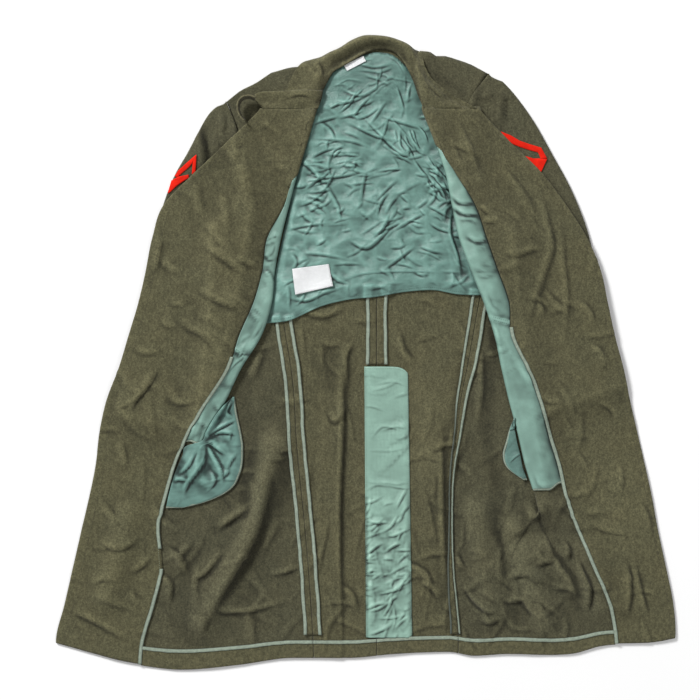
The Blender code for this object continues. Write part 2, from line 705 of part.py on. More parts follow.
def seam_allowances(name, centre, seam, heap):
    """A seam pressed open: two allowances, each with a bound edge."""
    ends, width = seam
    strips = {"allowance": (EDGE_GAP / 2, width, WOOL, WOOL_CLOTH),
              "binding": (width - BINDING_WIDTH, width, TAPE, BINDING_CLOTH)}
    for kind, (near, far, thickness, material) in strips.items():
        grids = [lay_strip(f"{kind}_{name}_{side}", centre, ends, out * near, out * far,
                           thickness, material, heap) for side, out in (("right", -1), ("left", 1))]
        for grid in grids:
            heap.cover(grid, whole(grid), thickness)


def lay_lining(heap):
    """The half-back lining, from the neck to its hem."""
    table = named(LINING_COLUMNS, LINING)
    rows = LINING_ROWS + 1
    grid = np.zeros((rows, len(LINING), 3))
    for n in range(rows):
        v = n / LINING_ROWS
        widen = v**LINING_WIDENING
        grid[n, :, 0] = blend(table["top_x"], table["hem_x"], widen)
        grid[n, :, 1] = blend(table["top_y"], table["hem_y"], v)
    grid = heap.settle(grid, whole(grid), SATIN)
    heap.cover(grid, whole(grid), SATIN)
    wall("lining_back", grid, whole(grid), SATIN, SATIN_CLOTH)


def lay_label(name, corners, heap):
    """A small label with four corners, laid on the heap."""
    a, b, c, d = (np.array(p, float) for p in corners)
    shares = (0, 0.5, 1)
    grid = np.zeros((len(shares), len(shares), 3))
    for i, v in enumerate(shares):
        for j, u in enumerate(shares):
            grid[i, j, :2] = blend(blend(a, b, u), blend(d, c, u), v)
    grid = heap.settle(grid, whole(grid), TAPE)
    heap.cover(grid, whole(grid), TAPE)
    wall(name, grid, whole(grid), TAPE, LABEL_CLOTH)


def lay_chevron(name, lines, heap):
    """A bent band between an outer and an inner line of points, laid on the sleeve."""
    outer, inner = np.array(lines, float)
    grid = np.zeros((len(outer), 3, 3))
    grid[..., :2] = np.stack([outer, (outer + inner) / 2, inner], axis=1)
    grid = heap.settle(grid, whole(grid), TAPE)
    heap.cover(grid, whole(grid), TAPE)
    wall(name, grid, whole(grid), TAPE, CHEVRON_CLOTH)


def lay_sleeve(name, sleeve, armhole, out, heap):
    """A sleeve flattened to two layers: one closed ring at each section, open at armhole and cuff."""
    stations = np.arange(len(sleeve["outer_x"]))
    at = {key: curve(stations, values) for key, values in sleeve.items()}
    rows = SLEEVE_ROWS + 1
    lower = np.zeros((rows, SLEEVE_CELLS + 1, 3))
    for n in range(rows):
        s = n / SLEEVE_ROWS * stations[-1]
        start = np.array([at["inner_x"](s), at["inner_y"](s)])
        end = np.array([at["outer_x"](s), at["outer_y"](s)])
        inset = (end - start) / np.linalg.norm(end - start) * (WOOL + SLEEVE_HOLLOW) / 2
        for k in range(SLEEVE_CELLS + 1):
            point = blend(start + inset, end - inset, k / SLEEVE_CELLS)
            head = max(0, 1 - n / SLEEVE_HEAD_ROWS) * min(1, 4 * k * (SLEEVE_CELLS - k) / SLEEVE_CELLS**2)
            seam_x = armhole(point[1]) + out * EDGE_GAP
            lower[n, k, :2] = (blend(point[0], seam_x, head), point[1])
    lower = heap.settle(lower, whole(lower), WOOL)
    rise = WOOL + SLEEVE_HOLLOW
    upper = lower[:, ::-1].copy()
    upper[..., 2] += rise
    turn_out = bulge(lower, -1, rise)
    turn_in = bulge(lower, 0, rise)
    ring = np.concatenate([lower, turn_out[:, None], upper, turn_in[:, None], lower[:, :1]], axis=1)
    if out > 0:
        ring = ring[:, ::-1].copy()
    heap.cover(upper, whole(upper), WOOL)
    wall(name, ring, whole(ring), WOOL, WOOL_CLOTH, ring=True)


def bulge(lower, column, rise):
    """Points of a sleeve's fold, half a rise up and half a rise out."""
    neighbour = 1 if column == 0 else -2
    point = lower[:, column].copy()
    away = point[:, :2] - lower[:, neighbour, :2]
    away = away / np.linalg.norm(away, axis=-1, keepdims=True)
    point[:, :2] += away * rise / 2
    point[:, 2] += rise / 2
    return point


def collar_sections():
    """Plan and design heights of the collar's points, and which of them rest on the heap."""
    grid = np.zeros((len(COLLAR), COLLAR_CELLS + 1, 3))
    rests = np.zeros(grid.shape[:2], bool)
    lift = np.zeros(grid.shape[:2])
    for n, row in enumerate(COLLAR):
        section = dict(zip(COLLAR_COLUMNS, row))
        neck = np.array([section["neck_x"], section["neck_y"]])
        roll = np.array([section["roll_x"], section["roll_y"]])
        edge = np.array([section["edge_x"], section["edge_y"]])
        shares, heights = COLLAR_SHAPES[section["lies"]]
        grid[n, :, :2] = [blend(neck, roll, s) if s <= 1 else blend(roll, edge, s - 1) for s in shares]
        lift[n] = heights
        if section["lies"] == "over":
            lift[n] += section["lift"]
            rests[n] = True
        rests[n, 0] = True
    grid[..., 2] = np.where(rests, 0, lift)
    return grid, rests, lift


def lay_collar_under(grid, heap):
    """The part of the collar that rolls back below the neck, laid before anything else."""
    lies = [row[0] for row in COLLAR]
    mask = np.zeros((len(COLLAR) - 1, COLLAR_CELLS), bool)
    for n, pair in enumerate(zip(lies, lies[1:])):
        if "under" in pair and "over" not in pair:
            mask[n, COLLAR_UNDER_CELLS:] = True
    heap.cover(grid, mask, COLLAR_CLOTH)


def lay_collar(grid, rests, lift, heap):
    """Rest the collar on the shoulders."""
    trial = heap.settle(grid.copy(), whole(grid), COLLAR_CLOTH)
    grid[..., 2] = np.where(rests, trial[..., 2] + lift, grid[..., 2])


def sew_collar(grid, fronts):
    """Bring the collar's ends to the height of the fronts at the gorge, and make it."""
    for section, front in ((0, fronts[0]), (-1, fronts[1])):
        gorge = front.grid[SHOULDER_ROWS, TOP:]
        order = np.argsort(gorge[:, 0])
        grid[section, :, 2] = SEAM_GAP / 2 + WOOL / 2 + np.interp(
            grid[section, :, 0], gorge[order, 0], gorge[order, 2])
    wall("collar", grid, whole(grid), COLLAR_CLOTH, WOOL_CLOTH)


def make_collar_tip():
    """The curled point of the collar's right end: a low upright loop."""
    turns = np.radians(np.linspace(TIP_FROM, TIP_TO, TIP_POINTS))
    grid = np.zeros((len(TIP_ROWS), TIP_POINTS, 3))
    for n, (height, flare) in enumerate(reversed(TIP_ROWS)):
        grid[n, :, 0] = TIP_CENTRE[0] + TIP_HALF_WIDTH * flare * np.cos(turns)
        grid[n, :, 1] = TIP_CENTRE[1] + TIP_HALF_LENGTH * flare * np.sin(turns)
        grid[n, :, 2] = TIP_FOOT + COLLAR_CLOTH / 2 + TIP_HEIGHT * height
    wall("collar_tip", grid, whole(grid), COLLAR_CLOTH, WOOL_CLOTH)


def lay_pocket(name, rows, out, heap):
    """A pocket bag that hangs out from under the fold."""
    table = named(POCKET_COLUMNS, rows)
    grid = np.zeros((len(rows), POCKET_CELLS + 1, 3))
    grid[..., 0] = np.linspace(table["near"], table["far"], POCKET_CELLS + 1).T
    grid[..., 1] = table["y"][:, None]
    grid = heap.settle(grid, whole(grid), POCKET_CLOTH)
    if out > 0:
        grid = grid[:, ::-1].copy()
    wall(name, grid, whole(grid), POCKET_CLOTH, SATIN_CLOTH)


def centre_on_origin():
    """Put the middle of the coat's plan over the origin."""
    bpy.context.view_layer.update()
    depsgraph = bpy.context.evaluated_depsgraph_get()
    points = []
    for thing in COAT.objects:
        shape = thing.evaluated_get(depsgraph)
        points += [shape.matrix_world @ v.co for v in shape.data.vertices]
    xs = [p.x for p in points]
    ys = [p.y for p in points]
    zs = [p.z for p in points]
    shift = (-(min(xs) + max(xs)) / 2, -(min(ys) + max(ys)) / 2, -min(zs))
    for thing in COAT.objects:
        thing.location = shift


def build():
    """Lay the coat's pieces in the order in which they rest on each other."""
    heap = Heap()
    collar, rests, lift = collar_sections()
    lay_collar_under(collar, heap)
    backs = (Back("right", FRONT_RIGHT, BACK_ARMHOLE_RIGHT, NECK_RIGHT),
             Back("left", FRONT_LEFT, BACK_ARMHOLE_LEFT, NECK_LEFT))
    for back in backs:
        back.lay(heap)
    for back in backs:
        heap.cover(back.grid, whole(back.grid), WOOL)
    fronts = (Front("right", FRONT_RIGHT, ARMHOLE_RIGHT, SHOULDER_RIGHT, SLEEVE_RIGHT, OPENING_RIGHT),
              Front("left", FRONT_LEFT, ARMHOLE_LEFT, SHOULDER_LEFT, SLEEVE_LEFT, OPENING_LEFT))
    for front in fronts:
        front.lay_floor(heap)
    seam_allowances("centre", lambda y: CENTRE_X, CENTRE_SEAM, heap)
    seam_allowances("side_right", fronts[0].at["seam"], SIDE_RIGHT_SEAM, heap)
    seam_allowances("side_left", fronts[1].at["seam"], SIDE_LEFT_SEAM, heap)
    stay = lay_strip("vent_stay", lambda y: 0, STAY_ENDS, *STAY_EDGES, SATIN, SATIN_CLOTH, heap)
    heap.cover(stay, whole(stay), SATIN)
    lay_lining(heap)
    lay_label("care_label", CARE_LABEL, heap)
    lay_label("neck_label", NECK_LABEL, heap)
    for front in fronts:
        front.lay_middle(heap)
        lay_sleeve("sleeve_" + front.side, front.sleeve, front.armhole, front.out, heap)
    lay_chevron("chevron_right", CHEVRON_RIGHT, heap)
    lay_chevron("chevron_left", CHEVRON_LEFT, heap)
    lay_collar(collar, rests, lift, heap)
    for front in fronts:
        front.lay_top(heap)
    sew_collar(collar, fronts)
    make_collar_tip()
    for back in backs:
        back.make()
    for front in fronts:
        front.make()
    lay_pocket("pocket_right", POCKET_RIGHT, -1, heap)
    lay_pocket("pocket_left", POCKET_LEFT, 1, heap)
    centre_on_origin()


COAT = tidy_scene()
WOOL_CLOTH = cloth("olive wool", (0.115, 0.105, 0.058), 0.95)
SATIN_CLOTH = cloth("green satin", (0.17, 0.30, 0.26), 0.45)
BINDING_CLOTH = cloth("pale binding tape", (0.42, 0.50, 0.42), 0.7)
LABEL_CLOTH = cloth("white label", (0.75, 0.77, 0.78), 0.7)
CHEVRON_CLOTH = cloth("red chevron felt", (0.52, 0.03, 0.01), 0.9)
build()
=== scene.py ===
import math

import bpy
import numpy as np
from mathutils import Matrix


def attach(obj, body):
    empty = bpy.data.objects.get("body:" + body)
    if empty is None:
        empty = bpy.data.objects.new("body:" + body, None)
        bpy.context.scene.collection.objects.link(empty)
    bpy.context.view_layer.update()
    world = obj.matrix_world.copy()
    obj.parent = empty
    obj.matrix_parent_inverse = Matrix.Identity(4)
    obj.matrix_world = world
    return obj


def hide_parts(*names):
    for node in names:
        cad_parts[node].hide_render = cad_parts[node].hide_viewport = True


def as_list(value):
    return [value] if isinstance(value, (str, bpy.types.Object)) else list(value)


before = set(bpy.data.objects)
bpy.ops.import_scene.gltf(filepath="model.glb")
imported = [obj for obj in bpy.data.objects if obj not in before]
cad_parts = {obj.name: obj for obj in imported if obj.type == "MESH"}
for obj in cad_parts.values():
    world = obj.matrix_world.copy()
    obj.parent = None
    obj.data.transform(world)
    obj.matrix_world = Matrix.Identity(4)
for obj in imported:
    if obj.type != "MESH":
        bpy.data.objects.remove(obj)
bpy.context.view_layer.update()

MM = 0.001
TINY = 1e-9
SHIFT = (-0.36, 0.882, 0.0)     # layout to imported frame
SIDES = {"right": -1, "left": 1}     # the way along x from the centre back

# Cloth
WOOL = 2.0
SATIN = 1.0
TAPE = 1.0
POCKET_CLOTH = 2.0
COLLAR_CLOTH = 3.0
SEAM_GAP = 0.3
LAY_GAP = 0.8
EDGE_GAP = 0.6

# Lengths along the coat
GORGE_Y = 448.0
HEM_ROW_Y = -540.0
HEM_Y = -570.0
HEM_CURVE_FROM = -330.0
CENTRE_X = 21.0
PIT_Y = 216.0

# Fine rows and columns
MAIN_ROWS = 272
HEM_ROWS = 8
SHOULDER_ROWS = 14
FLOOR_CELLS = 30
TURN_CELLS = 8
MIDDLE_CELLS = 20
STRIP_CELLS = 12
FACING_CELLS = 44
BACK_CELLS = 50
STAY_ROWS, STAY_CELLS = 250, 44
POCKET_ROWS, POCKET_CELLS = 90, 40
ALLOWANCE_STEP, ALLOWANCE_CELLS = 4, 6
CHEVRON_STEPS, CHEVRON_CELLS = 9, 6
LABEL_CELLS = 20
SIDE = FLOOR_CELLS
MIDDLE = SIDE + TURN_CELLS
FOLD = MIDDLE + MIDDLE_CELLS
TOP = FOLD + TURN_CELLS
INNER = TOP + STRIP_CELLS
EDGE = INNER + FACING_CELLS
# Share of an open row's width that each part takes, from the seam to the facing
OPEN_WIDTHS = {"floor": 3.6, "turn": 1.8, "middle": 3.6, "second turn": 1.8, "strip": 1.6}

TURN_RADIUS = 4.0
LEAST_STRIP = 1.2
STRIP_SLANT = 16              # rows over which a strip comes out from under its facing
FACING_CREASE_SHARE = 0.75    # of their tabled height
FLATTEN_FROM = 0.45           # share of the opening at which the layers start to come down
BINDING_WIDTH = 4.8
SLEEVE_HOLLOW = 3.0
SLEEVE_CELLS = 60
SLEEVE_TURN = 6
SLEEVE_ROWS = 90
SLEEVE_HEAD_SHARE = 4 / 14    # part of the sleeve's length over which its head's curve fades
SLEEVE_OPENS_OVER = 9         # rows from the armhole over which the tube becomes hollow

FRONT_COLUMNS = ("y", "edge", "facing", "fold", "side", "seam")
FRONT_RIGHT = (
    (450, -191, -92, -92, -280, -214),
    (390, -251, -110, -110, -280, -214),
    (330, -316, -128, -128, -280, -214),
    (270, -373, -151, -144, -280, -214),
    (210, -393, -183, -159, -280, -197),
    (150, -405, -192, -170, -281, -172),
    (90, -419, -209, -176, -283, -157),
    (30, -437, -235, -195, -288, -148),
    (-30, -455, -254, -232, -293, -138),
    (-90, -478, -291, -261, -301, -132),
    (-150, -492, -325, -296, -313, -129),
    (-210, -499, -352, -314, -325, -124),
    (-270, -511, -370, -314, -325, -118),
    (-330, -525, -383, -314, -325, -112),
    (-400, -541, -377, -314, -325, -106),
    (-470, -557, -393, -314, -325, -101),
    (-540, -573, -413, -314, -325, -97),
    (-590, -573, -418, -314, -325, -95),
)
FRONT_LEFT = (
    (450, 207, 110, 106, 267, 258),
    (390, 264, 133, 130, 267, 258),
    (330, 325, 166, 150, 267, 258),
    (270, 371, 203, 162, 267, 258),
    (210, 409, 224, 175, 267, 248),
    (150, 434, 245, 197, 271, 225),
    (90, 447, 266, 221, 276, 211),
    (30, 460, 270, 241, 286, 200),
    (-30, 476, 298, 254, 295, 189),
    (-90, 489, 322, 268, 304, 177),
    (-150, 503, 338, 284, 313, 170),
    (-210, 517, 357, 298, 322, 162),
    (-270, 530, 371, 316, 331, 159),
    (-330, 541, 393, 323, 334, 159),
    (-400, 556, 422, 323, 334, 161),
    (-470, 570, 451, 323, 334, 167),
    (-525, 574, 463, 323, 334, 172),
    (-570, 556, 465, 323, 334, 173),
)

ARMHOLE_COLUMNS = ("y", "x")
ARMHOLE_RIGHT = ((463, -258), (438, -247), (404, -236), (354, -225), (299, -219), (216, -280))
ARMHOLE_LEFT = ((515, 228), (467, 193), (391, 179), (317, 175), (270, 186), (216, 267))
BACK_ARMHOLE_RIGHT = ((463, -258), (438, -247), (404, -236), (354, -225), (299, -219), (243, -214))
BACK_ARMHOLE_LEFT = ((515, 228), (467, 200), (391, 192), (317, 205), (270, 232), (240, 258))
SHOULDER_RIGHT = ((-88, 506), (-116, 529), (-140, 527), (-175, 517), (-203, 498), (-232, 484), (-258, 463))
SHOULDER_LEFT = ((100, 524), (97, 557), (119, 556), (131, 548), (150, 548), (193, 534), (228, 515))
NECK_RIGHT = ((21, 549), (-14, 539), (-50, 516), (-88, 505), (-116, 528), (-140, 526), (-175, 516),
              (-203, 497), (-232, 483), (-258, 463))
NECK_LEFT = ((21, 549), (50, 544), (75, 519), (100, 524), (98, 557), (119, 556), (131, 548), (172, 541),
             (228, 515))

HEM_LINE_COLUMNS = ("x", "y")
HEM_LINE = (
    (-575, -541), (-521, -556), (-443, -576), (-339, -589), (-236, -580), (-132, -567), (-29, -567),
    (49, -560), (153, -556), (204, -563), (256, -560), (386, -559), (438, -545), (541, -539), (575, -532),
)

SLEEVE_COLUMNS = ("outer_x", "outer_y", "inner_x", "inner_y")
SLEEVE_RIGHT = (
    (-261, 463, -220, 300),
    (-291, 438, -216, 268),
    (-325, 376, -218, 232),
    (-358, 317, -224, 190),
    (-384, 240, -234, 130),
    (-404, 150, -247, 70),
    (-420, 60, -264, 5),
    (-438, -30, -286, -70),
    (-456, -112, -313, -150),
)
SLEEVE_LEFT = (
    (238, 515, 176, 317),
    (273, 480, 176, 280),
    (311, 428, 181, 246),
    (346, 366, 191, 196),
    (382, 299, 208, 135),
    (412, 222, 234, 72),
    (434, 125, 262, 15),
    (452, 30, 298, -48),
    (472, -62, 333, -108),
)

COLLAR_COLUMNS = ("lies", "neck_x", "neck_y", "roll_x", "roll_y", "edge_x", "edge_y", "lift")
COLLAR = (
    ("over", -88, 449, -120, 449, -189, 449, 1),
    ("over", -82, 465, -118, 466, -205, 467, 3),
    ("over", -79, 480, -116, 481, -199, 479, 5),
    ("over", -78, 485, -105, 484, -152, 482, 0),
    ("over", -71, 499, -92, 501, -140, 503, 0),
    ("over", -60, 517, -83, 526, -122, 531, 1),
    ("rim", -49, 525, -71, 550, -97, 540, 5),
    ("under", -36, 532, -47, 562, -50, 512, 0),
    ("under", -18, 543, -23, 577, -22, 500, 0),
    ("under", 5, 556, 3, 585, 4, 492, 0),
    ("under", 27, 561, 29, 584, 28, 492, 0),
    ("under", 49, 558, 56, 578, 47, 503, 0),
    ("rim", 66, 543, 84, 563, 98, 556, 5),
    ("over", 79, 521, 94, 528, 110, 527, 2),
    ("over", 90, 497, 107, 501, 127, 501, 2),
    ("over", 97, 475, 120, 478, 160, 477, 2),
    ("over", 107, 449, 140, 449, 206, 449, 1),
)
COLLAR_SHAPES = {
    "under": ((0, 0.45, 0.82, 1, 0.82, 1.55, 2), (0, 11, 17, 10, 1.5, 1.5, 1.5)),
    "rim": ((0, 0.45, 0.85, 1, 1.35, 1.7, 2), (0, 11, 16, 11, 6, 3, 1.5)),
    "over": ((0, 0.5, 1, 1.25, 1.5, 1.75, 2), (0, 4, 5, 3, 1, 0, 0)),
}
COLLAR_CREASES = (
    (3, 5, 0.3, (-92, 538), (-84, 522), (-80, 500)),
    (3, 5, 0.3, (-136, 532), (-139, 512), (-150, 494)),
    (3, 5, 0.3, (-150, 470), (-120, 476), (-90, 468)),
    (2.5, 4, 0.3, (70, 572), (88, 556), (100, 540)),
    (2.5, 6, 0.2, (112, 500), (130, 482), (150, 466)),
)
COLLAR_FINE = (9, 6)          # fine cells in each of the table's cells, along and across
COLLAR_UNDER_CELL = 4
COLLAR_END_ROWS = 8
GORGE_OVERLAP = {"right": 2.5, "left": 6.0}      # how far the facing reaches under the collar
CALM_ROWS = 10                # rows on both sides of the gorge without the painted crest highlight and hollow shade
GORGE_DIP = {"right": 0.3, "left": 0.5}          # how far both sink at the gorge seam

TIP_CENTRE = (-216.4, 448.6)
TIP_HALF_WIDTH = 20.0
TIP_HALF_LENGTH = 24.0
TIP_FROM, TIP_TO = 50.0, 250.0
TIP_FOOT = 14.0
TIP_HEIGHT = 15.0
TIP_ROWS = ((0.0, 0.86), (0.55, 0.96), (1.0, 1.0))

LINING_COLUMNS = ("top_x", "top_y", "hem_x", "hem_y")
LINING = (
    (-70, 508, -186, 52), (-53, 523, -140, 58), (-30, 537, -84, 83), (-4, 550, -32, 96),
    (22, 555, 18, 101), (46, 552, 70, 110), (64, 540, 122, 114), (79, 523, 172, 106), (92, 498, 222, 104),
)
LINING_ROWS = 250
LINING_CELLS = 168
LINING_WIDENING = 0.75

ALLOWANCE_TAPE = 4.5
# The left side seam, which has fallen nearly closed: how far each edge lies from the seam, and the tape seen
SHOWS_COLUMNS = ("y", "reach", "tape")
CLOSED_SEAM = "side_left"
CLOSED_SHOWS = {
    "right": ((112, 14.5, 3.6), (-6, 11, 2.6), (-90, 7, 1.6), (-150, 4.5, 0.9), (-260, 3, 0.8),
              (-350, 4, 0.8), (-430, 9, 1.0), (-526, 13, 1.4)),
    "left": ((112, 14, 4.4), (21, 15.5, 4.2), (-90, 11, 3.4), (-164, 7, 2.2), (-228, 3.5, 1.5),
             (-526, 3, 1.4)),
}
# Each seam's pressed-open allowance: its ends along y, and its width
ALLOWANCES = {"centre": ((120, -24), 18.0), "side_right": ((62, -526), 15.0),
              "side_left": ((112, -524), 15.0)}
DIM_FROM = -60.0          # y below which the closed seam's tapes lie in shadow
DIM_RUN = 120.0           # length over which that shadow comes in
SEAM_DIM = {"right": 1.0, "left": 0.15}      # darkness of each tape there
STAY_ENDS = (-28, -531)
STAY_TOP_EDGES = (-2, 79)
STAY_FOOT_EDGES = (1, 87)
STAY_CRINKLED_FROM = -250.0
STAY_CORNER = 13.0
CARE_LABEL = ((-136, 153), (-68, 162), (-60, 121), (-130, 105))
NECK_LABEL = ((-40, 530), (-4, 548), (1, 538), (-34, 520))
# Red bars of the chevrons: points of the outer and of the inner line
CHEVRON_COLUMNS = ("outer_x", "outer_y", "inner_x", "inner_y")
CHEVRON_RIGHT = (
    ((-354, 325, -349, 323), (-347, 336, -340, 331), (-330, 351, -327, 342), (-313, 365, -320, 351),
     (-315, 332, -322, 328)),
    ((-367, 293, -363, 295), (-360, 317, -351, 306), (-347, 324, -340, 314), (-328, 328, -327, 322)),
)
CHEVRON_LEFT = (
    ((251, 408, 260, 395), (269, 401, 272, 385), (286, 391, 287, 379), (303, 385, 302, 374),
     (326, 378, 320, 369), (337, 358, 325, 358)),
    ((284, 368, 280, 352), (298, 362, 293, 345), (312, 358, 306, 335), (323, 358, 316, 328),
     (337, 357, 325, 331)),
)
TAPE_HIDDEN = {"right": (-364, -400), "left": (-900, -900)}      # y where a fold covers the facing's tape
TOPSTITCH = {"right": 15.0, "left": 8.5}      # distance of the fronts' topstitching from their edges
# Strips of front lining: x and y of the cross seam's ends, the y below which a strip is smooth, its lower end
CROSS_SEAMS = {"right": (-247, 3, -219, -19), "left": (236, 56, 278, 45)}
CROSS_RISE, CROSS_FOLD = 1.7, 11      # height and width of the cloth folded up above a cross seam
CROSS_STITCHES = (2.0, 7.5)           # above the cross seam
CALM_BELOW = {"right": -140, "left": 60}
CALM_RUN = 20
STRIP_CRUMPLE, STRIP_SCATTER, STRIP_PUFF = 0.3, 0.55, 0.4
STRIP_END_ROWS = 8
STRIP_ENDS = {"right": {"rise": 4.0, "from": 312.0, "run": 14.0},
              "left": {"rise": 13.0, "from": 340.0, "run": 22.0}}
STRIP_SHADES = (0.6, 0.0, 0.0, 0.4)      # from the fold to the facing's edge
POCKET_SHADE = {"right": 0.12, "left": 0.25}
RIM_WIDTH = 2.8
RIM_CLOTH = 0.6
RIM_SHADE = (0.9, 0.3, 0.0, 0.8)
POCKET_COLUMNS = ("y", "near", "far")
POCKET_RIGHT = (
    (-84, -246, -244), (-112, -273, -240), (-150, -296, -232), (-167, -306, -229), (-174, -330, -228),
    (-191, -338, -228), (-228, -354, -234), (-258, -363, -254), (-280, -368, -300), (-290, -370, -340),
)
POCKET_LEFT = (
    (-123, 274, 277), (-145, 277, 268), (-167, 281, 262), (-191, 287, 256), (-216, 292, 264),
    (-238, 300, 293),
)

OPENING_COLUMNS = ("relax_from", "relax_to", "strip_from", "strip_to", "tape_from")
OPENING_RIGHT = (-200, -330, 345, -170, -8)
OPENING_LEFT = (-270, -400, 398, -259, 46)

RIDGE_COLUMNS = ("x0", "y0", "x1", "y1", "height", "half_width")
RIDGES = (
    (-172, -175, -196, -310, 9, 26),
    (-196, -310, -300, -500, 8, 28),
    (205, -300, 232, -480, 8, 26),
    (275, -330, 330, -500, 7, 24),
    (390, -300, 440, -470, 6, 26),
    (-430, -250, -480, -450, 6, 26),
)

# Creases placed one by one: height, half width, lean (steeper on one side), then the crest's points
LINING_CREASES = (
    (3.0, 4, 0.3, (-38, 428), (18, 401), (55, 391)),
    (3.5, 4, -0.3, (-10, 443), (55, 376), (86, 358)),
    (2.5, 4, 0.2, (27, 438), (68, 425), (110, 413)),
    (3.0, 4, 0.0, (86, 358), (101, 336), (119, 317)),
    (3.0, 3.5, 0.0, (60, 401), (79, 376), (90, 354)),
    (3.5, 4, 0.3, (110, 336), (132, 306), (156, 299)),
    (2.5, 4, 0.2, (-103, 397), (-29, 391), (12, 378)),
    (3.0, 4, 0.0, (-117, 336), (-80, 323), (-38, 327), (-6, 336)),
    (2.5, 4, -0.3, (-80, 317), (-53, 271), (-47, 240)),
    (2.5, 4, 0.3, (-149, 225), (-112, 234), (-56, 240)),
    (4.0, 5, 0.4, (-34, 212), (-1, 193), (27, 212), (55, 243)),
    (3.0, 4, 0.3, (45, 221), (82, 243), (110, 258)),
    (3.0, 5, -0.2, (101, 197), (123, 188), (147, 184)),
    (2.5, 4, 0.2, (-117, 184), (-75, 180), (-29, 171)),
    (3.5, 4, 0.2, (31, 151), (64, 175), (92, 197)),
    (4.0, 4, -0.4, (160, 271), (156, 225), (169, 179), (177, 129)),
    (2.5, 5, 0.0, (1, 339), (-6, 308), (-10, 273)),
    (3.0, 4, 0.3, (-47, 489), (-10, 475), (40, 502)),
    (3.0, 4, 0.0, (-19, 536), (18, 528), (49, 534)),
    (2.5, 4, 0.2, (-66, 456), (-25, 465), (12, 480)),
    (3.0, 4, 0.0, (55, 495), (64, 469), (71, 443)),
    (2.5, 4, -0.2, (-88, 425), (-66, 410), (-56, 388)),
    (3.0, 5, 0.3, (-121, 354), (-99, 339), (-66, 299)),
    (2.5, 4, 0.2, (-125, 271), (-99, 280), (-73, 302)),
    (2.5, 4, 0.2, (12, 273), (36, 299), (60, 321)),
    (3.0, 4, 0.3, (116, 271), (134, 262), (160, 247)),
    (3.0, 4, 0.3, (119, 240), (138, 228), (162, 221)),
    (3.0, 4, -0.2, (-80, 166), (-55, 136), (-29, 125)),
    (3.0, 4, 0.2, (-149, 103), (-112, 95), (-75, 110), (-38, 121)),
    (2.5, 4, 0.2, (-140, 184), (-129, 166), (-136, 151)),
    (1.5, 2.5, 0.0, (-47, 129), (-1, 145), (82, 149), (166, 145)),
)
SKIRT_CREASES = (
    (6, 17, 0.5, (-167, -164), (-186, -238), (-199, -312), (-223, -367), (-278, -460), (-315, -534)),
    (5, 8, 0.4, (-214, -284), (-247, -308), (-278, -330)),
    (4, 8, 0.3, (-265, -364), (-297, -408), (-325, -423)),
    (4, 7, 0.3, (-380, -413), (-362, -438), (-365, -471)),
    (3, 7, 0.0, (-321, -349), (-343, -378), (-347, -404)),
    (3, 7, 0.2, (-278, -478), (-232, -482), (-140, -460)),
    (3, 6, 0.2, (-180, -413), (-149, -408), (-121, -397)),
    (3, 6, 0.2, (-325, -487), (-297, -500), (-306, -523)),
    (4, 7, 0.3, (-369, -364), (-343, -386), (-332, -413)),
    (3, 6, 0.3, (-297, -80), (-325, -93)),
    (3, 8, 0.0, (-191, 12), (-203, -25), (-214, -53)),
    (6, 12, -0.5, (-47, 3), (-45, -127), (-51, -312), (-45, -640)),
    (4, 9, 0.3, (-25, 21), (-38, -16), (-36, -90)),
    (3, 7, 0.2, (-66, -108), (-55, -127), (-32, -93)),
    (3, 6, 0.2, (-47, -432), (-25, -452), (-16, -482)),
    (3, 7, 0.0, (60, 40), (69, 3), (90, -25)),
    (3, 7, 0.2, (123, -182), (147, -173), (175, -171)),
    (5, 12, 0.3, (138, -127), (140, -275), (145, -460)),
    (3, 6, 0.2, (101, -423), (123, -438), (138, -460)),
    (3, 6, 0.2, (-121, 77), (-80, 66), (-38, 84)),
    (3, 7, 0.0, (55, -386), (110, -413), (119, -460)),
    (6, 7, 0.4, (300, -275), (315, -308), (328, -336), (343, -371), (350, -386)),
    (4, 9, 0.2, (322, -275), (337, -305), (347, -338)),
    (5, 6, 0.4, (352, -378), (360, -400), (375, -419), (386, -441), (393, -456)),
    (6, 6, 0.4, (393, -382), (399, -404), (410, -426), (415, -445), (413, -469), (404, -487)),
    (5, 6, 0.3, (365, -349), (376, -371), (371, -386)),
    (3, 5, 0.3, (249, -358), (249, -395), (254, -432)),
    (4, 5, 0.3, (258, -426), (277, -417), (297, -413), (314, -423), (328, -437)),
    (4, 5, 0.3, (254, -460), (271, -463), (290, -460), (304, -478), (319, -493)),
    (3.5, 5, 0.3, (182, -434), (197, -456), (212, -471), (230, -482), (245, -482)),
    (3.5, 5, 0.2, (315, -395), (332, -391), (352, -386)),
    (3, 5, 0.2, (212, -497), (230, -502), (252, -492)),
    (3, 5, 0.2, (169, -376), (175, -391), (182, -404)),
    (3, 8, 0.0, (212, 21), (214, -53), (204, -145)),
)
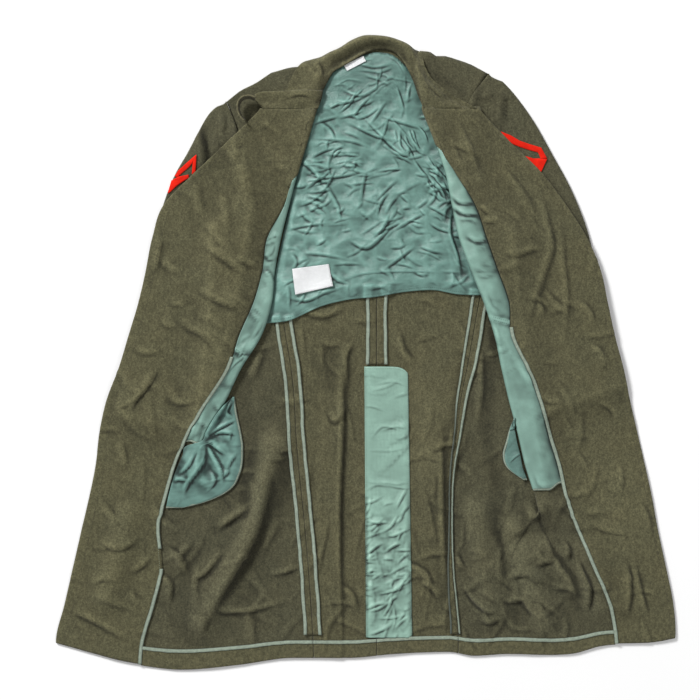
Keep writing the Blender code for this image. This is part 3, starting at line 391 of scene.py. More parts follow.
FACING_CREASES = (
    (5, 6, 0.4, (-302, 201), (-277, 182), (-247, 162), (-219, 143)),
    (5, 6, 0.4, (-306, 121), (-295, 108), (-269, 93), (-241, 82), (-223, 68)),
    (4.5, 6, 0.4, (-349, 66), (-327, 45), (-301, 32), (-282, 14), (-269, -10)),
    (4, 5, 0.3, (-380, 64), (-365, 49), (-352, 45)),
    (3.5, 5, 0.3, (-362, 90), (-347, 88), (-334, 82)),
    (6, 8, 0.4, (-388, -25), (-399, -53), (-415, -75), (-430, -93), (-436, -112)),
    (4, 6, 0.3, (-373, -60), (-362, -80), (-351, -93), (-332, -95), (-310, -90)),
    (3.5, 6, 0.3, (-301, 240), (-282, 221), (-269, 203), (-247, 184)),
    (3.5, 6, 0.3, (-315, 317), (-310, 280), (-297, 253)),
    (3, 6, 0.2, (-269, 299), (-258, 262), (-254, 225)),
    (4, 6, 0.3, (-240, 173), (-223, 167), (-201, 154)),
    (4, 5, 0.3, (-378, 228), (-384, 173), (-395, 142)),
    (3, 6, 0.2, (-384, 177), (-362, 154), (-341, 145)),
    (3, 7, 0.2, (-167, 345), (-154, 339), (-140, 332)),
    (4, 8, 0.0, (-458, -164), (-450, -191), (-445, -219)),
    (4, 8, 0.2, (-399, -275), (-376, -312), (-347, -334)),
    (4, 8, 0.3, (-495, -271), (-473, -302), (-458, -330)),
    (4, 8, 0.3, (-499, -349), (-458, -364), (-421, -345)),
    (4, 8, 0.0, (-510, -432), (-484, -419), (-450, -426)),
    (5, 9, 0.3, (-547, -478), (-500, -500), (-439, -534)),
    (4, 8, 0.2, (-439, -408), (-417, -397), (-399, -378)),
    (4, 9, 0.3, (-251, 410), (-240, 373), (-243, 343)),
    (4, 8, 0.0, (-426, 12), (-406, -1), (-380, 3)),
    (4, 5, 0.3, (249, 184), (277, 180), (304, 188), (325, 193)),
    (3, 5, 0.2, (243, 151), (267, 154), (288, 166)),
    (4, 5, 0.3, (217, 241), (230, 241), (247, 245)),
    (4, 8, 0.3, (314, 317), (325, 280), (336, 234), (343, 197), (332, 154), (321, 119), (306, 82), (295, 40)),
    (3, 5, 0.2, (319, 95), (330, 66)),
    (3.5, 8, 0.2, (360, 243), (364, 169), (371, 95), (365, 21)),
    (4, 5, 0.3, (210, 271), (221, 262), (232, 254)),
    (3.5, 5, 0.3, (382, -271), (397, -265), (417, -256)),
    (3.5, 4, 0.3, (402, -299), (423, -299), (443, -295)),
    (5, 6, 0.4, (419, -314), (434, -327), (456, -334), (480, -338), (504, -345)),
    (4, 6, 0.3, (473, -210), (475, -238), (467, -269)),
    (6, 8, 0.4, (482, -386), (489, -441), (484, -491)),
    (5, 9, 0.4, (495, -382), (508, -441), (524, -500)),
    (3, 8, 0.0, (156, 447), (193, 373), (212, 299)),
    (3, 7, 0.2, (388, 95), (412, 77), (426, 40)),
    (3, 7, 0.2, (426, -90), (456, -105), (471, -134)),
    (3, 7, 0.2, (415, 12), (434, -1), (445, -31)),
    (3, 7, 0.3, (323, -80), (345, -93), (364, -90)),
    (3, 8, 0.0, (249, 345), (286, 299), (315, 243)),
    (4, 8, 0.2, (508, -275), (523, -312), (530, -349)),
    (3, 7, 0.2, (388, -432), (434, -441), (456, -434)),
)
STRIP_CREASES = (
    (2.5, 4, 0.2, (-191, 184), (-180, 173), (-162, 169)),
    (2.5, 4, 0.2, (-191, 151), (-177, 142), (-169, 123)),
    (2.5, 4, 0.2, (-247, 6), (-232, -1), (-214, -5)),
    (2, 3, 0.2, (-217, 73), (-203, 62), (-191, 55)),
    (2.5, 4, 0.0, (-278, -99), (-265, -112), (-258, -105)),
    (2, 4, 0.0, (-314, -127), (-299, -134), (-288, -145)),
    (3.5, 5, 0.4, (156, 292), (178, 275), (206, 277)),
    (4.5, 5, 0.4, (158, 270), (186, 254), (214, 256)),
    (2.5, 4, 0.3, (170, 242), (188, 246), (206, 238)),
    (3.0, 5, 0.3, (184, 216), (208, 204), (232, 212)),
    (2, 4, 0.2, (201, 142), (219, 140), (241, 147)),
    (2.5, 4, 0.2, (219, 114), (230, 84), (249, 66)),
    (2, 4, 0.0, (310, -219), (327, -249), (345, -245)),
)
POCKET_CREASES = (
    (5, 4, 0.3, (-295, -156), (-269, -140), (-240, -125)),
    (4, 4, 0.3, (-295, -160), (-265, -149), (-238, -153)),
    (6, 4, 0.3, (-295, -164), (-278, -177), (-258, -191)),
    (5, 4, 0.3, (-297, -166), (-284, -191), (-269, -219), (-265, -247)),
    (6, 5, 0.4, (-299, -167), (-301, -201), (-314, -223), (-332, -247), (-338, -265)),
    (4, 5, 0.3, (-314, -182), (-328, -210), (-347, -228)),
    (3, 4, 0.2, (-254, -219), (-264, -234)),
    (3, 4, 0.2, (-240, -188), (-251, -204), (-258, -219)),
    (4, 4, 0.2, (-247, -90), (-258, -112), (-247, -123)),
    (4, 5, 0.2, (-356, -240), (-345, -236), (-330, -238)),
    (3, 4, 0.2, (-288, -219), (-280, -238), (-295, -260)),
)
# Painted shade in deep folds and under edges, and painted light where the darkness is below zero: darkness,
# half width, then the line's points
PAINTED_LIGHT_AND_SHADE = {
    "collar": (
        (0.55, 6, (-62, 532), (-74, 500), (-84, 470), (-90, 450)),
        (0.45, 6, (62, 549), (79, 521), (90, 487), (103, 451)),
        (0.55, 8, (0, 572), (22, 571), (45, 563)),
    ),
    "lining_back": (
        (0.35, 8, (-72, 500), (-90, 440), (-115, 360), (-140, 270), (-165, 170)),
        (0.35, 8, (90, 490), (110, 420), (135, 350), (150, 300), (160, 240)),
        (0.50, 13, (150, 305), (158, 240), (176, 165), (192, 122)),
        (0.90, 4, (-34, 538), (-14, 549), (0, 556)),
    ),
    "front_right": (
        (0.40, 15, (-217, -30), (-223, -90), (-212, -150)),
        (0.35, 12, (-158, -180), (-155, -240), (-167, -300)),
        (0.30, 14, (-371, -277), (-334, -290), (-292, -275)),
    ),
    "front_left": (
        (1.00, 9, (231, 66), (236, 30), (240, -4)),
        (0.55, 13, (238, 12), (230, -71), (227, -145), (238, -219), (256, -277)),
        (0.50, 12, (318, -285), (330, -312), (340, -338)),
        (0.50, 6, (110, 526), (138, 508), (166, 489), (188, 469)),
        (-0.80, 60, (290, -330), (290, -470)),
    ),
    "back_right": (
        (0.45, 6, (-53, -120), (-53, -300), (-50, -620)),
        (0.55, 26, (-62, 20), (-62, -80)),
    ),
    "back_left": (
        (0.50, 13, (140, -120), (132, -230), (134, -350), (148, -510)),
        (0.50, 5, (182, 3), (166, -90), (154, -164), (151, -238), (151, -330)),
        (-0.55, 28, (112, -50), (112, -235)),
    ),
    "facing_right": (
        (0.30, 17, (-200, 310), (-194, 230), (-188, 160)),
        (0.35, 5, (-380, 228), (-387, 173), (-402, 120)),
        (0.28, 28, (-222, 390), (-222, 280)),
    ),
    "facing_left": (
        (0.35, 9, (484, -380), (490, -441), (484, -500)),
        (-0.50, 40, (468, -190), (478, -380)),
    ),
    "sleeve_right": (
        (0.70, 8, (-303, 424), (-298, 385), (-290, 330)),
    ),
    "sleeve_left": (
        (0.45, 5, (254, 462), (254, 440), (251, 405)),
        (0.35, 5, (222, 470), (236, 474), (250, 468)),
    ),
    "pocket_right": (
        (0.40, 24, (-322, -205), (-345, -245)),
        (0.50, 10, (-300, -160), (-285, -170)),
        (0.50, 13, (-247, -88), (-258, -112)),
    ),
    "vent_stay": (
        (0.20, 42, (42, -300), (42, -510)),
    ),
    "lining_front_left": (
        (0.60, 4, (158, 288), (180, 272), (204, 274)),
        (0.85, 4, (160, 266), (186, 250), (212, 252)),
        (0.45, 4, (172, 238), (190, 242), (206, 234)),
        (0.50, 4, (186, 212), (208, 200), (230, 208)),
        (0.60, 4, (192, 150), (219, 144), (245, 150)),
        (0.50, 4, (208, 108), (232, 96), (252, 92)),
    ),
    "lining_front_right": (
        (0.65, 4, (-194, 186), (-180, 175), (-160, 171)),
        (0.65, 4, (-194, 152), (-180, 142), (-166, 130)),
        (0.60, 4, (-222, 75), (-204, 64), (-190, 58)),
        (0.65, 4, (-250, 4), (-232, -3), (-214, -7)),
        (0.60, 4, (-270, -60), (-256, -66), (-244, -64)),
        (0.60, 4, (-284, -100), (-268, -112), (-258, -106)),
    ),
    "pocket_left": (
        (0.60, 9, (284, -125), (290, -170), (300, -238)),
    ),
}
TAPE_WAVER = 0.12
TAPE_COLUMNS = (0.0, 0.33, 0.67, 0.95, 1.0)      # shares of a tape's width
TAPE_EDGE_DROP = 0.35
TAPE_SHADE = (1.0, 0.5, 0.1, 0.0, 0.0, 0.5, 0.9)      # a tape's edges are darker than its middle
SLEEVE_CREASES = (
    (5, 7, 0.3, (253, 488), (254, 462), (256, 415)),
    (3, 5, 0.0, (254, 469), (273, 473)),
    (3, 6, 0.2, (201, 467), (215, 473), (230, 465)),
    (3, 5, 0.0, (227, 491), (236, 474)),
    (9, 9, 0.4, (-311, 408), (-303, 385), (-294, 338)),
    (3, 6, 0.2, (-268, 445), (-262, 425), (-266, 400)),
    (3, 6, 0.2, (-284, 400), (-260, 378)),
)


def named(columns, rows):
    """A table as one array for each named column."""
    return {name: np.array([row[i] for row in rows], float) for i, name in enumerate(columns)}


def curve(stations, values):
    """Smooth curve through the given stations that never overshoots them."""
    order = np.argsort(stations)
    s = np.asarray(stations, float)[order]
    v = np.asarray(values, float)[order]
    step = np.diff(s)
    rise = np.diff(v) / step
    slope = np.zeros(len(s))
    slope[1:-1] = (rise[:-1] + rise[1:]) / 2
    slope[0], slope[-1] = rise[0], rise[-1]
    flat = rise[:-1] * rise[1:] <= 0
    slope[1:-1][flat] = 0

    def at(x):
        x = np.clip(x, s[0], s[-1])
        i = np.clip(np.searchsorted(s, x) - 1, 0, len(step) - 1)
        h = step[i]
        t = (x - s[i]) / h
        return ((2 * t**3 - 3 * t**2 + 1) * v[i] + (t**3 - 2 * t**2 + t) * h * slope[i]
                + (3 * t**2 - 2 * t**3) * v[i + 1] + (t**3 - t**2) * h * slope[i + 1])
    return at


def curves(columns, rows):
    """For each column but the first, its smooth curve over the first."""
    table = named(columns, rows)
    return {name: curve(table[columns[0]], table[name]) for name in columns[1:]}


def spaced(columns, rows, cells):
    """A table's columns at evenly spaced places from its first row to its last."""
    places = np.linspace(0, len(rows) - 1, cells + 1)
    table = named(columns, rows)
    return {name: curve(np.arange(len(rows)), values)(places) for name, values in table.items()}


def ease(x):
    """0 to 1 with level ends."""
    x = np.clip(x, 0, 1)
    return x * x * (3 - 2 * x)


def blend(a, b, t):
    return a + (b - a) * t


def finer(values, factor):
    """An array with more rows, on smooth curves through the given ones."""
    count = len(values)
    stations = np.arange(count)
    wanted = np.linspace(0, count - 1, (count - 1) * factor + 1)
    flat = values.reshape(count, -1)
    made = np.stack([curve(stations, column)(wanted) for column in flat.T], axis=-1)
    return made.reshape((len(wanted),) + values.shape[1:])


class Noise:
    """Smooth gradient noise on a seeded lattice, about -1 to 1."""
    SIZE = 64

    def __init__(self, seed):
        angle = np.random.default_rng(seed).uniform(0, 2 * math.pi, (self.SIZE, self.SIZE))
        self.gradients = np.cos(angle), np.sin(angle)

    def corner(self, i, j, dx, dy):
        gx, gy = (g[i % self.SIZE, j % self.SIZE] for g in self.gradients)
        return gx * dx + gy * dy

    def __call__(self, x, y, scale):
        u, v = np.asarray(x) / scale, np.asarray(y) / scale
        i, j = np.floor(u).astype(int), np.floor(v).astype(int)
        fu, fv = u - i, v - j
        su, sv = ease(fu), ease(fv)
        low = blend(self.corner(i, j, fu, fv), self.corner(i + 1, j, fu - 1, fv), su)
        high = blend(self.corner(i, j + 1, fu, fv - 1), self.corner(i + 1, j + 1, fu - 1, fv - 1), su)
        return 1.5 * blend(low, high, sv)


FACET_SPOTS = 64


def facets(x, y, size, seed):
    """Distance to the nearest of scattered points: flat-sided crumple with straight creases."""
    spots = np.random.default_rng(seed).uniform(-0.5, 0.5, (FACET_SPOTS, FACET_SPOTS, 2))
    u, v = x / size, y / size
    i, j = np.round(u).astype(int), np.round(v).astype(int)
    nearest = np.full(np.shape(x), np.inf)
    for di in (-1, 0, 1):
        for dj in (-1, 0, 1):
            spot = spots[(i + di) % FACET_SPOTS, (j + dj) % FACET_SPOTS]
            nearest = np.minimum(nearest, np.hypot(u - i - di - spot[..., 0], v - j - dj - spot[..., 1]))
    return nearest * size


def crest_points(path):
    """A crease's crest as a smooth line through its points."""
    return finer(np.array(path, float), 6)


def near_line(x, y, line, reach):
    """Points within reach of a line: their marks, distance, side of the line and share of its run."""
    low, high = line.min(axis=0) - reach, line.max(axis=0) + reach
    near = (x > low[0]) & (x < high[0]) & (y > low[1]) & (y < high[1])
    px, py = x[near], y[near]
    best = np.full(px.shape, np.inf)
    side = np.zeros(px.shape)
    share = np.zeros(px.shape)
    for k, (a, b) in enumerate(zip(line, line[1:])):
        along = b - a
        t = np.clip(((px - a[0]) * along[0] + (py - a[1]) * along[1]) / (along @ along), 0, 1)
        dx, dy = px - a[0] - t * along[0], py - a[1] - t * along[1]
        distance = np.hypot(dx, dy)
        closer = distance < best
        best = np.where(closer, distance, best)
        side = np.where(closer, np.sign(along[0] * dy - along[1] * dx), side)
        share = np.where(closer, (k + t) / (len(line) - 1), share)
    return near, best, side, share


LIT_FROM = (-0.67, 0.74)
CREASE_REACH = 4.5            # in half widths
CREASE_TAPER = 0.4            # share of a crease's run and reach over which it fades
CREASE_FOOT = 0.22            # depth of the hollow at its foot, as a share of its height
DARK_REACH = 2.5


def crease_zones(x, y, rows):
    """For each crease its height and half width, and at the points near it the distance, side and taper."""
    for peak, half_width, lean, *path in rows:
        line = crest_points(path)
        reach = CREASE_REACH * half_width
        near, best, side, share = near_line(x, y, line, reach)
        if not near.any():
            continue
        chord = line[-1] - line[0]
        shaded = side * np.sign(chord[1] * LIT_FROM[0] - chord[0] * LIT_FROM[1]) > 0
        taper = ease(np.minimum(share, 1 - share) / CREASE_TAPER + 0.08)
        taper = taper * ease((reach - best) / (CREASE_TAPER * reach))
        yield peak, half_width, abs(lean), near, best, shaded, taper


def crease_field(x, y, rows, sharp=False):
    """Summed height of creases at each point; each one's steeper side faces away from the key light."""
    height = np.zeros(np.shape(x))
    for peak, half_width, lean, near, best, shaded, taper in crease_zones(x, y, rows):
        if sharp:
            steep = np.exp(-(best / (0.55 * half_width))**2)
            level = np.exp(-best / (2.0 * half_width))
            foot = np.exp(-((best - 1.0 * half_width) / (0.45 * half_width))**2) * shaded
        else:
            steep = np.exp(-(best / (half_width * (0.65 - 0.5 * lean)))**2)
            level = np.exp(-(np.hypot(best, WOOL) - WOOL) / (half_width * (0.9 + 2.2 * lean)))
            foot = np.exp(-((best - 1.1 * half_width) / (0.5 * half_width))**2) * shaded
        fall = np.where(shaded, steep, level)
        height[near] += peak * taper * (fall - CREASE_FOOT * foot)
    return height


def crease_lines(x, y, rows, amount):
    """Painted shade: a narrow dark line at the foot of each crease's steep side, the side away from the key
    light.
    """
    dark = np.zeros(np.shape(x))
    for peak, half_width, _, near, best, shaded, taper in crease_zones(x, y, rows):
        line = np.exp(-((best - 0.6 * half_width) / (0.4 * half_width))**2)
        dark[near] += amount * peak * taper * line * shaded
    return dark


def dark_places(x, y, rows):
    """Painted shade along lines; a negative amount paints light instead."""
    dark = np.zeros(np.shape(x))
    for amount, half_width, *path in rows:
        near, best, _, share = near_line(x, y, crest_points(path), DARK_REACH * half_width)
        taper = ease(np.minimum(share, 1 - share) / 0.2 + 0.25)
        dark[near] += amount * taper * np.exp(-(best / half_width)**2)
    return dark


def scattered(seed, count, low, high, length, height, half_width, turn, spread=0.5):
    """Rows of short, slightly bent creases at random places; turn is their main direction in degrees."""
    chance = np.random.default_rng(seed)
    rows = []
    for _ in range(count):
        centre = chance.uniform(low, high)
        angle = math.radians(turn) + spread * chance.normal() + 0.6 * float(SWELL(centre[0], centre[1], 160))
        rows.append(short_crease(chance, centre, angle, length, height, half_width))
    return tuple(rows)


def fanned(seed, fans, length, height, half_width):
    """Rows of short creases that run out from the given centres, each about one direction in degrees."""
    chance = np.random.default_rng(seed)
    rows = []
    for x, y, count, reach, toward, spread in fans:
        for _ in range(count):
            angle = math.radians(toward + chance.uniform(-spread, spread))
            away = chance.uniform(0.3, 1.1) * reach
            shift = 0.22 * reach * chance.normal(size=2)
            centre = np.array([x + away * math.cos(angle), y + away * math.sin(angle)]) + shift
            angle += 0.3 * chance.normal()
            rows.append(short_crease(chance, centre, angle, length, height, half_width))
    return tuple(rows)


def short_crease(chance, centre, angle, length, height, half_width):
    """One row as in the crease tables."""
    run = chance.uniform(*length)
    along = np.array([math.cos(angle), math.sin(angle)]) * run / 2
    bend = np.array([-along[1], along[0]]) * 0.17 * chance.normal()
    points = (tuple(centre - along), tuple(centre + bend), tuple(centre + along))
    return (chance.uniform(*height), chance.uniform(*half_width), chance.uniform(0.15, 0.4), *points)


RIDGE_RISE = 1.3
SWELL = Noise(11)
RIPPLE = Noise(23)
FOLDS = Noise(37)
WOOL_SCATTER = (scattered(3, 120, (-560, -540), (560, 440), (35, 110), (0.6, 1.9), (3.5, 7), -48, 0.45)
                + scattered(4, 55, (-420, -540), (420, -120), (40, 130), (0.8, 1.9), (4.5, 8), 72, 0.4)
                + scattered(5, 60, (-560, -540), (560, 100), (30, 90), (0.6, 1.8), (3.5, 6), 8, 0.3))
LINING_SCATTER = (
    scattered(51, 150, (-150, 90), (190, 540), (16, 60), (0.8, 2.5), (2.2, 4.2), 12, 0.55)
    + fanned(52, ((-70, 338, 16, 60, 8, 45), (-60, 335, 8, 45, 190, 35), (110, 350, 16, 60, 150, 45),
                  (120, 330, 8, 40, 290, 40), (150, 300, 16, 50, 175, 55), (20, 212, 8, 50, 45, 30),
                  (70, 505, 10, 60, 200, 40), (-60, 452, 10, 60, 15, 30), (-110, 285, 9, 45, 15, 45)),
             (18, 60), (1.2, 3.4), (2.0, 3.8)))
SATIN_SCATTER = scattered(61, 230, (-380, -300), (340, 420), (14, 50), (0.9, 2.6), (2.2, 4.0), 25, 0.6)
STAY_SCATTER = (scattered(62, 75, (-10, -540), (95, -270), (16, 60), (1.0, 2.6), (2.2, 3.8), 38, 0.35)
                + scattered(63, 14, (0, -260), (90, -60), (30, 90), (0.7, 1.3), (2.5, 3.5), 4, 0.2))
# Pieces, the creases on them, and how dark the painted shade at each crease's foot is
CREASED = (
    (("front_right", "front_left", "back_right", "back_left"), SKIRT_CREASES + WOOL_SCATTER, 0.13),
    (("facing_right", "facing_left"), FACING_CREASES + WOOL_SCATTER, 0.13),
    (("sleeve_right", "sleeve_left"), SLEEVE_CREASES, 0.10),
    (("collar",), COLLAR_CREASES, 0.13),
    (("lining_back",), LINING_CREASES + LINING_SCATTER, 0.12),
    (("lining_front_right", "lining_front_left"), STRIP_CREASES + SATIN_SCATTER, 0.22),
    (("pocket_right", "pocket_left"), POCKET_CREASES + SATIN_SCATTER, 0.22),
    (("vent_stay",), STAY_SCATTER, 0.18),
)


def relief(x, y):
    """Height above the ground of the folds and creases of what lies on it."""
    height = np.zeros(np.shape(x))
    for row in RIDGES:
        ridge = dict(zip(RIDGE_COLUMNS, row))
        along = np.array([ridge["x1"] - ridge["x0"], ridge["y1"] - ridge["y0"]], float)
        length = np.hypot(*along)
        along /= length
        dx, dy = x - ridge["x0"], y - ridge["y0"]
        s = dx * along[0] + dy * along[1]
        across = dx * along[1] - dy * along[0]
        ends = np.maximum(np.maximum(-s, s - length), 0)
        swell = np.exp(-(across**2 + ends**2) / ridge["half_width"]**2)
        height = np.maximum(height, RIDGE_RISE * ridge["height"] * swell)
    height += RIDGE_RISE * crease_field(x, y, SKIRT_CREASES)
    return np.maximum(np.maximum(height, 0) + wool_wrinkles(x, y), 0)


def wool_wrinkles(x, y):
    """Small unevenness of cloth that has been folded away: low swells and a few soft creases."""
    wave = 1.2 * SWELL(x, y, 130) + 0.7 * RIPPLE(x, y * 0.7, 55) + 0.3 * FOLDS(x, y, 22)
    return np.maximum(wave + 0.7, 0) + np.maximum(crease_field(x, y, WOOL_SCATTER), -0.4)


def four_round(values):
    """Sum of each value's four neighbours."""
    p = np.pad(values, 1, mode="edge")
    return p[:-2, 1:-1] + p[2:, 1:-1] + p[1:-1, :-2] + p[1:-1, 2:]


class Heap:
    """Height of all that has been laid so far, on a square raster."""
    CELL = 2.5
    HALF = 640.0
    SAMPLES = 4
    STEEPEST = 0.4

    def __init__(self):
        size = int(2 * self.HALF / self.CELL)
        self.top = np.zeros((size, size))

    def place(self, x, y):
        return ((y + self.HALF) / self.CELL).astype(int), ((x + self.HALF) / self.CELL).astype(int)

    def cover(self, points, mask, wall):
        """Add a laid wall's upper side."""
        i, j = np.nonzero(mask)
        a, b, c, d = points[i, j], points[i + 1, j], points[i, j + 1], points[i + 1, j + 1]
        normal = np.cross(b - a, c - a)
        upright = np.abs(normal[:, 2]) / (np.linalg.norm(normal, axis=1) + TINY)
        rise = wall / 2 / np.maximum(upright, self.STEEPEST)
        steps = (np.arange(self.SAMPLES) + 0.5) / self.SAMPLES
        for s in steps:
            for t in steps:
                p = blend(blend(a, b, s), blend(c, d, s), t)
                np.maximum.at(self.top, self.place(p[:, 0], p[:, 1]), p[:, 2] + rise)

    def settle(self, points, wall, below=0.0, gap=LAY_GAP, sag=0.02, passes=150, reach=1):
        """Heights at which a sheet rests on the heap, bridging steps as far as its stiffness lets it."""
        wide = self.top.copy()
        for dy in range(-reach, reach + 1):
            for dx in range(-reach, reach + 1):
                wide = np.maximum(wide, np.roll(self.top, (dy, dx), axis=(0, 1)))
        base = wide[self.place(points[..., 0], points[..., 1])]
        base = base + wall / 2 + np.where(base > 0, gap + below, 0)
        z = base.copy()
        for _ in range(passes):
            z = np.maximum(base, four_round(z) / 4 - sag)
        return z


def whole(points):
    """A mask that marks every cell of a grid."""
    return np.ones((points.shape[0] - 1, points.shape[1] - 1), bool)


def unit(steps):
    """Vectors brought to length one."""
    return steps / (np.linalg.norm(steps, axis=-1, keepdims=True) + TINY)


def inset_from(share, width):
    """0 at both ends of a share from 0 to 1, and 1 further in than the given width."""
    return ease(np.minimum(share, 1 - share) / width)


def empty_grid(rows, cells):
    """A grid of points for the given cells down and across."""
    return np.zeros((rows + 1, cells + 1, 3))


def normals(points, mask):
    """Unit normal at each point of a grid, from the marked cells round it."""
    total = np.zeros(points.shape)
    i, j = np.nonzero(mask)
    corners = ((i, j), (i + 1, j), (i + 1, j + 1), (i, j + 1))
    for k in range(4):
        here, after, before = points[corners[k]], points[corners[(k + 1) % 4]], points[corners[k - 1]]
        np.add.at(total, corners[k], unit(np.cross(after - here, before - here)))
    length = np.linalg.norm(total, axis=-1, keepdims=True)
    return np.where(length > 0, total / np.maximum(length, TINY), 0)


def moved_out(points, mask, distance, up):
    """A grid moved along its normals; up is 1 where the coat's inside is the normals' side."""
    made = points + normals(points, mask) * distance * up
    made[..., 2] = np.maximum(made[..., 2], WOOL / 2)
    return made


def pull_in(line, neighbour, distance):
    """Move a line of points towards its neighbour by a set distance."""
    gap = np.linalg.norm(neighbour - line, axis=-1, keepdims=True)
    line += (neighbour - line) * np.minimum(distance / np.maximum(gap, TINY), 0.5)


ROLL_ANGLES = (35, 70, 105)


def rolled(points, edge, drop):
    """A grid with extra columns that roll over its edge and down; edge is the columns' last index."""
    last, before = points[:, edge], points[:, edge - 1]
    out = last - before
    out[:, 2] = 0
    out = unit(out)
    extra = []
    for angle in np.radians(ROLL_ANGLES):
        extra.append(last + out * drop * math.sin(angle) - np.array([0, 0, drop * (1 - math.cos(angle))]))
    return np.concatenate([points[:, :edge + 1], np.stack(extra, axis=1)], axis=1)


def along_rows(points, distances):
    """Points at set distances along each row from its first point; distances may differ between rows."""
    distances = np.broadcast_to(distances, (len(points), distances.shape[-1]))
    steps = np.linalg.norm(np.diff(points, axis=1), axis=-1)
    run = np.concatenate([np.zeros((len(points), 1)), np.cumsum(steps, axis=1)], axis=1)
    made = np.zeros(distances.shape + (3,))
    for n, row in enumerate(points):
        for k in range(3):
            made[n, :, k] = np.interp(distances[n], run[n], row[:, k])
    return made


def placed(name, data):
    """A new object, linked to the scene."""
    thing = bpy.data.objects.new(name, data)
    bpy.context.scene.collection.objects.link(thing)
    return thing


PIECES = {}
# How deep and broad the hollows are that get painted shade, and the crests that get a painted highlight
HOLLOW_DEPTH = 0.5
BROAD_HOLLOW = 6.0
BROAD_MOST = 0.45
BROAD_PASSES = 40


def arc(points, axis):
    """Mean run of a grid along one axis, in metres."""
    steps = np.linalg.norm(np.diff(points, axis=axis), axis=-1).mean(axis=1 - axis)
    return np.concatenate([[0], np.cumsum(steps)]) * MM


def neighbours_mean(values):
    """Mean of each value and its four neighbours."""
    return (four_round(values) + values) / 5


def hollows(points):
    """How far each point lies in a hollow, -1 on a sharp crest to 1 in a sharp crease."""
    z = points[..., 2]
    small = neighbours_mean(neighbours_mean(z)) - z
    large = z
    for _ in range(BROAD_PASSES):
        large = neighbours_mean(large)
    large = np.clip((large - z) / BROAD_HOLLOW, -BROAD_MOST, BROAD_MOST)
    return np.clip(neighbours_mean(small) / HOLLOW_DEPTH, -1, 1) + large


def wall(node, points, mask, thickness, material, ring=False, shade=0.0, worn=1.0):
    """Marked cells of a grid as a closed wall that stands for a solid.

    Shade is painted shade at given places; the last argument scales the painted highlight on crests and the
    painted shade in hollows.
    """
    rows, columns = points.shape[:2]
    i, j = np.nonzero(mask)
    index = np.arange(rows * columns).reshape(rows, columns)
    if ring:
        index[:, -1] = index[:, 0]
    quads = np.stack([index[i, j], index[i + 1, j], index[i + 1, j + 1], index[i, j + 1]], axis=1)
    used, faces = np.unique(quads, return_inverse=True)
    faces = faces.reshape(quads.shape)
    verts = (points.reshape(-1, 3)[used] + SHIFT) * MM
    mesh = bpy.data.meshes.new(node + "_cloth")
    mesh.from_pydata(verts.tolist(), [], faces.tolist())
    i0, j0 = i.min(), j.min()
    shown = points[i0:i.max() + 2, j0:j.max() + 2]
    across, down = arc(shown, 1), arc(shown, 0)
    u = np.stack([across[j - j0], across[j - j0], across[j - j0 + 1], across[j - j0 + 1]], axis=1)
    v = np.stack([down[i - i0], down[i - i0 + 1], down[i - i0 + 1], down[i - i0]], axis=1)
    layer = mesh.uv_layers.new(name="grain")
    layer.data.foreach_set("uv", np.stack([u, v], axis=-1).ravel())
    mesh.shade_smooth()
    mesh.materials.append(material)
    # The hollow attribute carries painted shade and highlight, which the materials multiply into their colour
    mark = mesh.attributes.new("hollow", "FLOAT", "POINT")
    hollow = np.zeros((rows, columns))
    if not ring:
        hollow[i0:i.max() + 2, j0:j.max() + 2] = hollows(shown)
    x, y = points[..., 0], points[..., 1]
    # Painted shade and highlight: crest and hollow tone, the shade argument, the listed shade and light
    # lines, and the dark feet of creases
    hollow = hollow * worn + shade + dark_places(x, y, PAINTED_LIGHT_AND_SHADE.get(node, ()))
    for names, creases, amount in CREASED:
        if node in names:
            hollow += crease_lines(x, y, creases, amount)
    dark = np.clip(hollow, -1, 1)
    mark.data.foreach_set("value", dark.ravel()[used].astype(np.float32))
    mesh.update()
    thing = placed(node + "_cloth", mesh)
    solid = thing.modifiers.new("cloth thickness", "SOLIDIFY")
    solid.thickness = thickness * MM
    solid.offset = 0.0
    solid.use_even_offset = False
    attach(thing, "root")
    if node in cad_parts:
        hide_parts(node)
    PIECES[node] = thing


STITCH_LINES = {kind: [] for kind in ("front", "tape", "satin", "stay", "label")}


def row_heights():
    """Nominal y of the rows from the gorge down to the hem."""
    main = np.linspace(GORGE_Y, HEM_ROW_Y, MAIN_ROWS + 1)
    return np.append(main, np.linspace(HEM_ROW_Y, HEM_Y, HEM_ROWS + 1)[1:])


PIT_ROW = SHOULDER_ROWS + int(np.argmax(row_heights() < PIT_Y))


def hem_curve(x, y):
    """Bend the rows of the skirt to the hem's own line."""
    share = np.clip((HEM_CURVE_FROM - y) / (HEM_CURVE_FROM - HEM_Y), 0, 1)
    return y + share**2 * (curves(HEM_LINE_COLUMNS, HEM_LINE)["y"](x) - HEM_Y)


def bent_rows(rows_at, nominal):
    """Plan positions of rows at the given heights, bent near the foot to the hem's line."""
    bent = nominal
    for _ in range(4):
        line = rows_at(bent)
        bent = hem_curve(line, nominal)
    return line, bent


def fill_shoulder(grid, columns, line):
    """Plan positions of the rows above the gorge, from a line of points down."""
    line = np.array(line, float)
    first = grid[SHOULDER_ROWS, columns, :2].copy()
    t = np.linspace(0, len(line) - 1, len(first))
    top = np.stack([np.interp(t, np.arange(len(line)), line[:, k]) for k in (0, 1)], axis=-1)
    for n in range(SHOULDER_ROWS):
        grid[n, columns, :2] = blend(top, first, n / SHOULDER_ROWS)


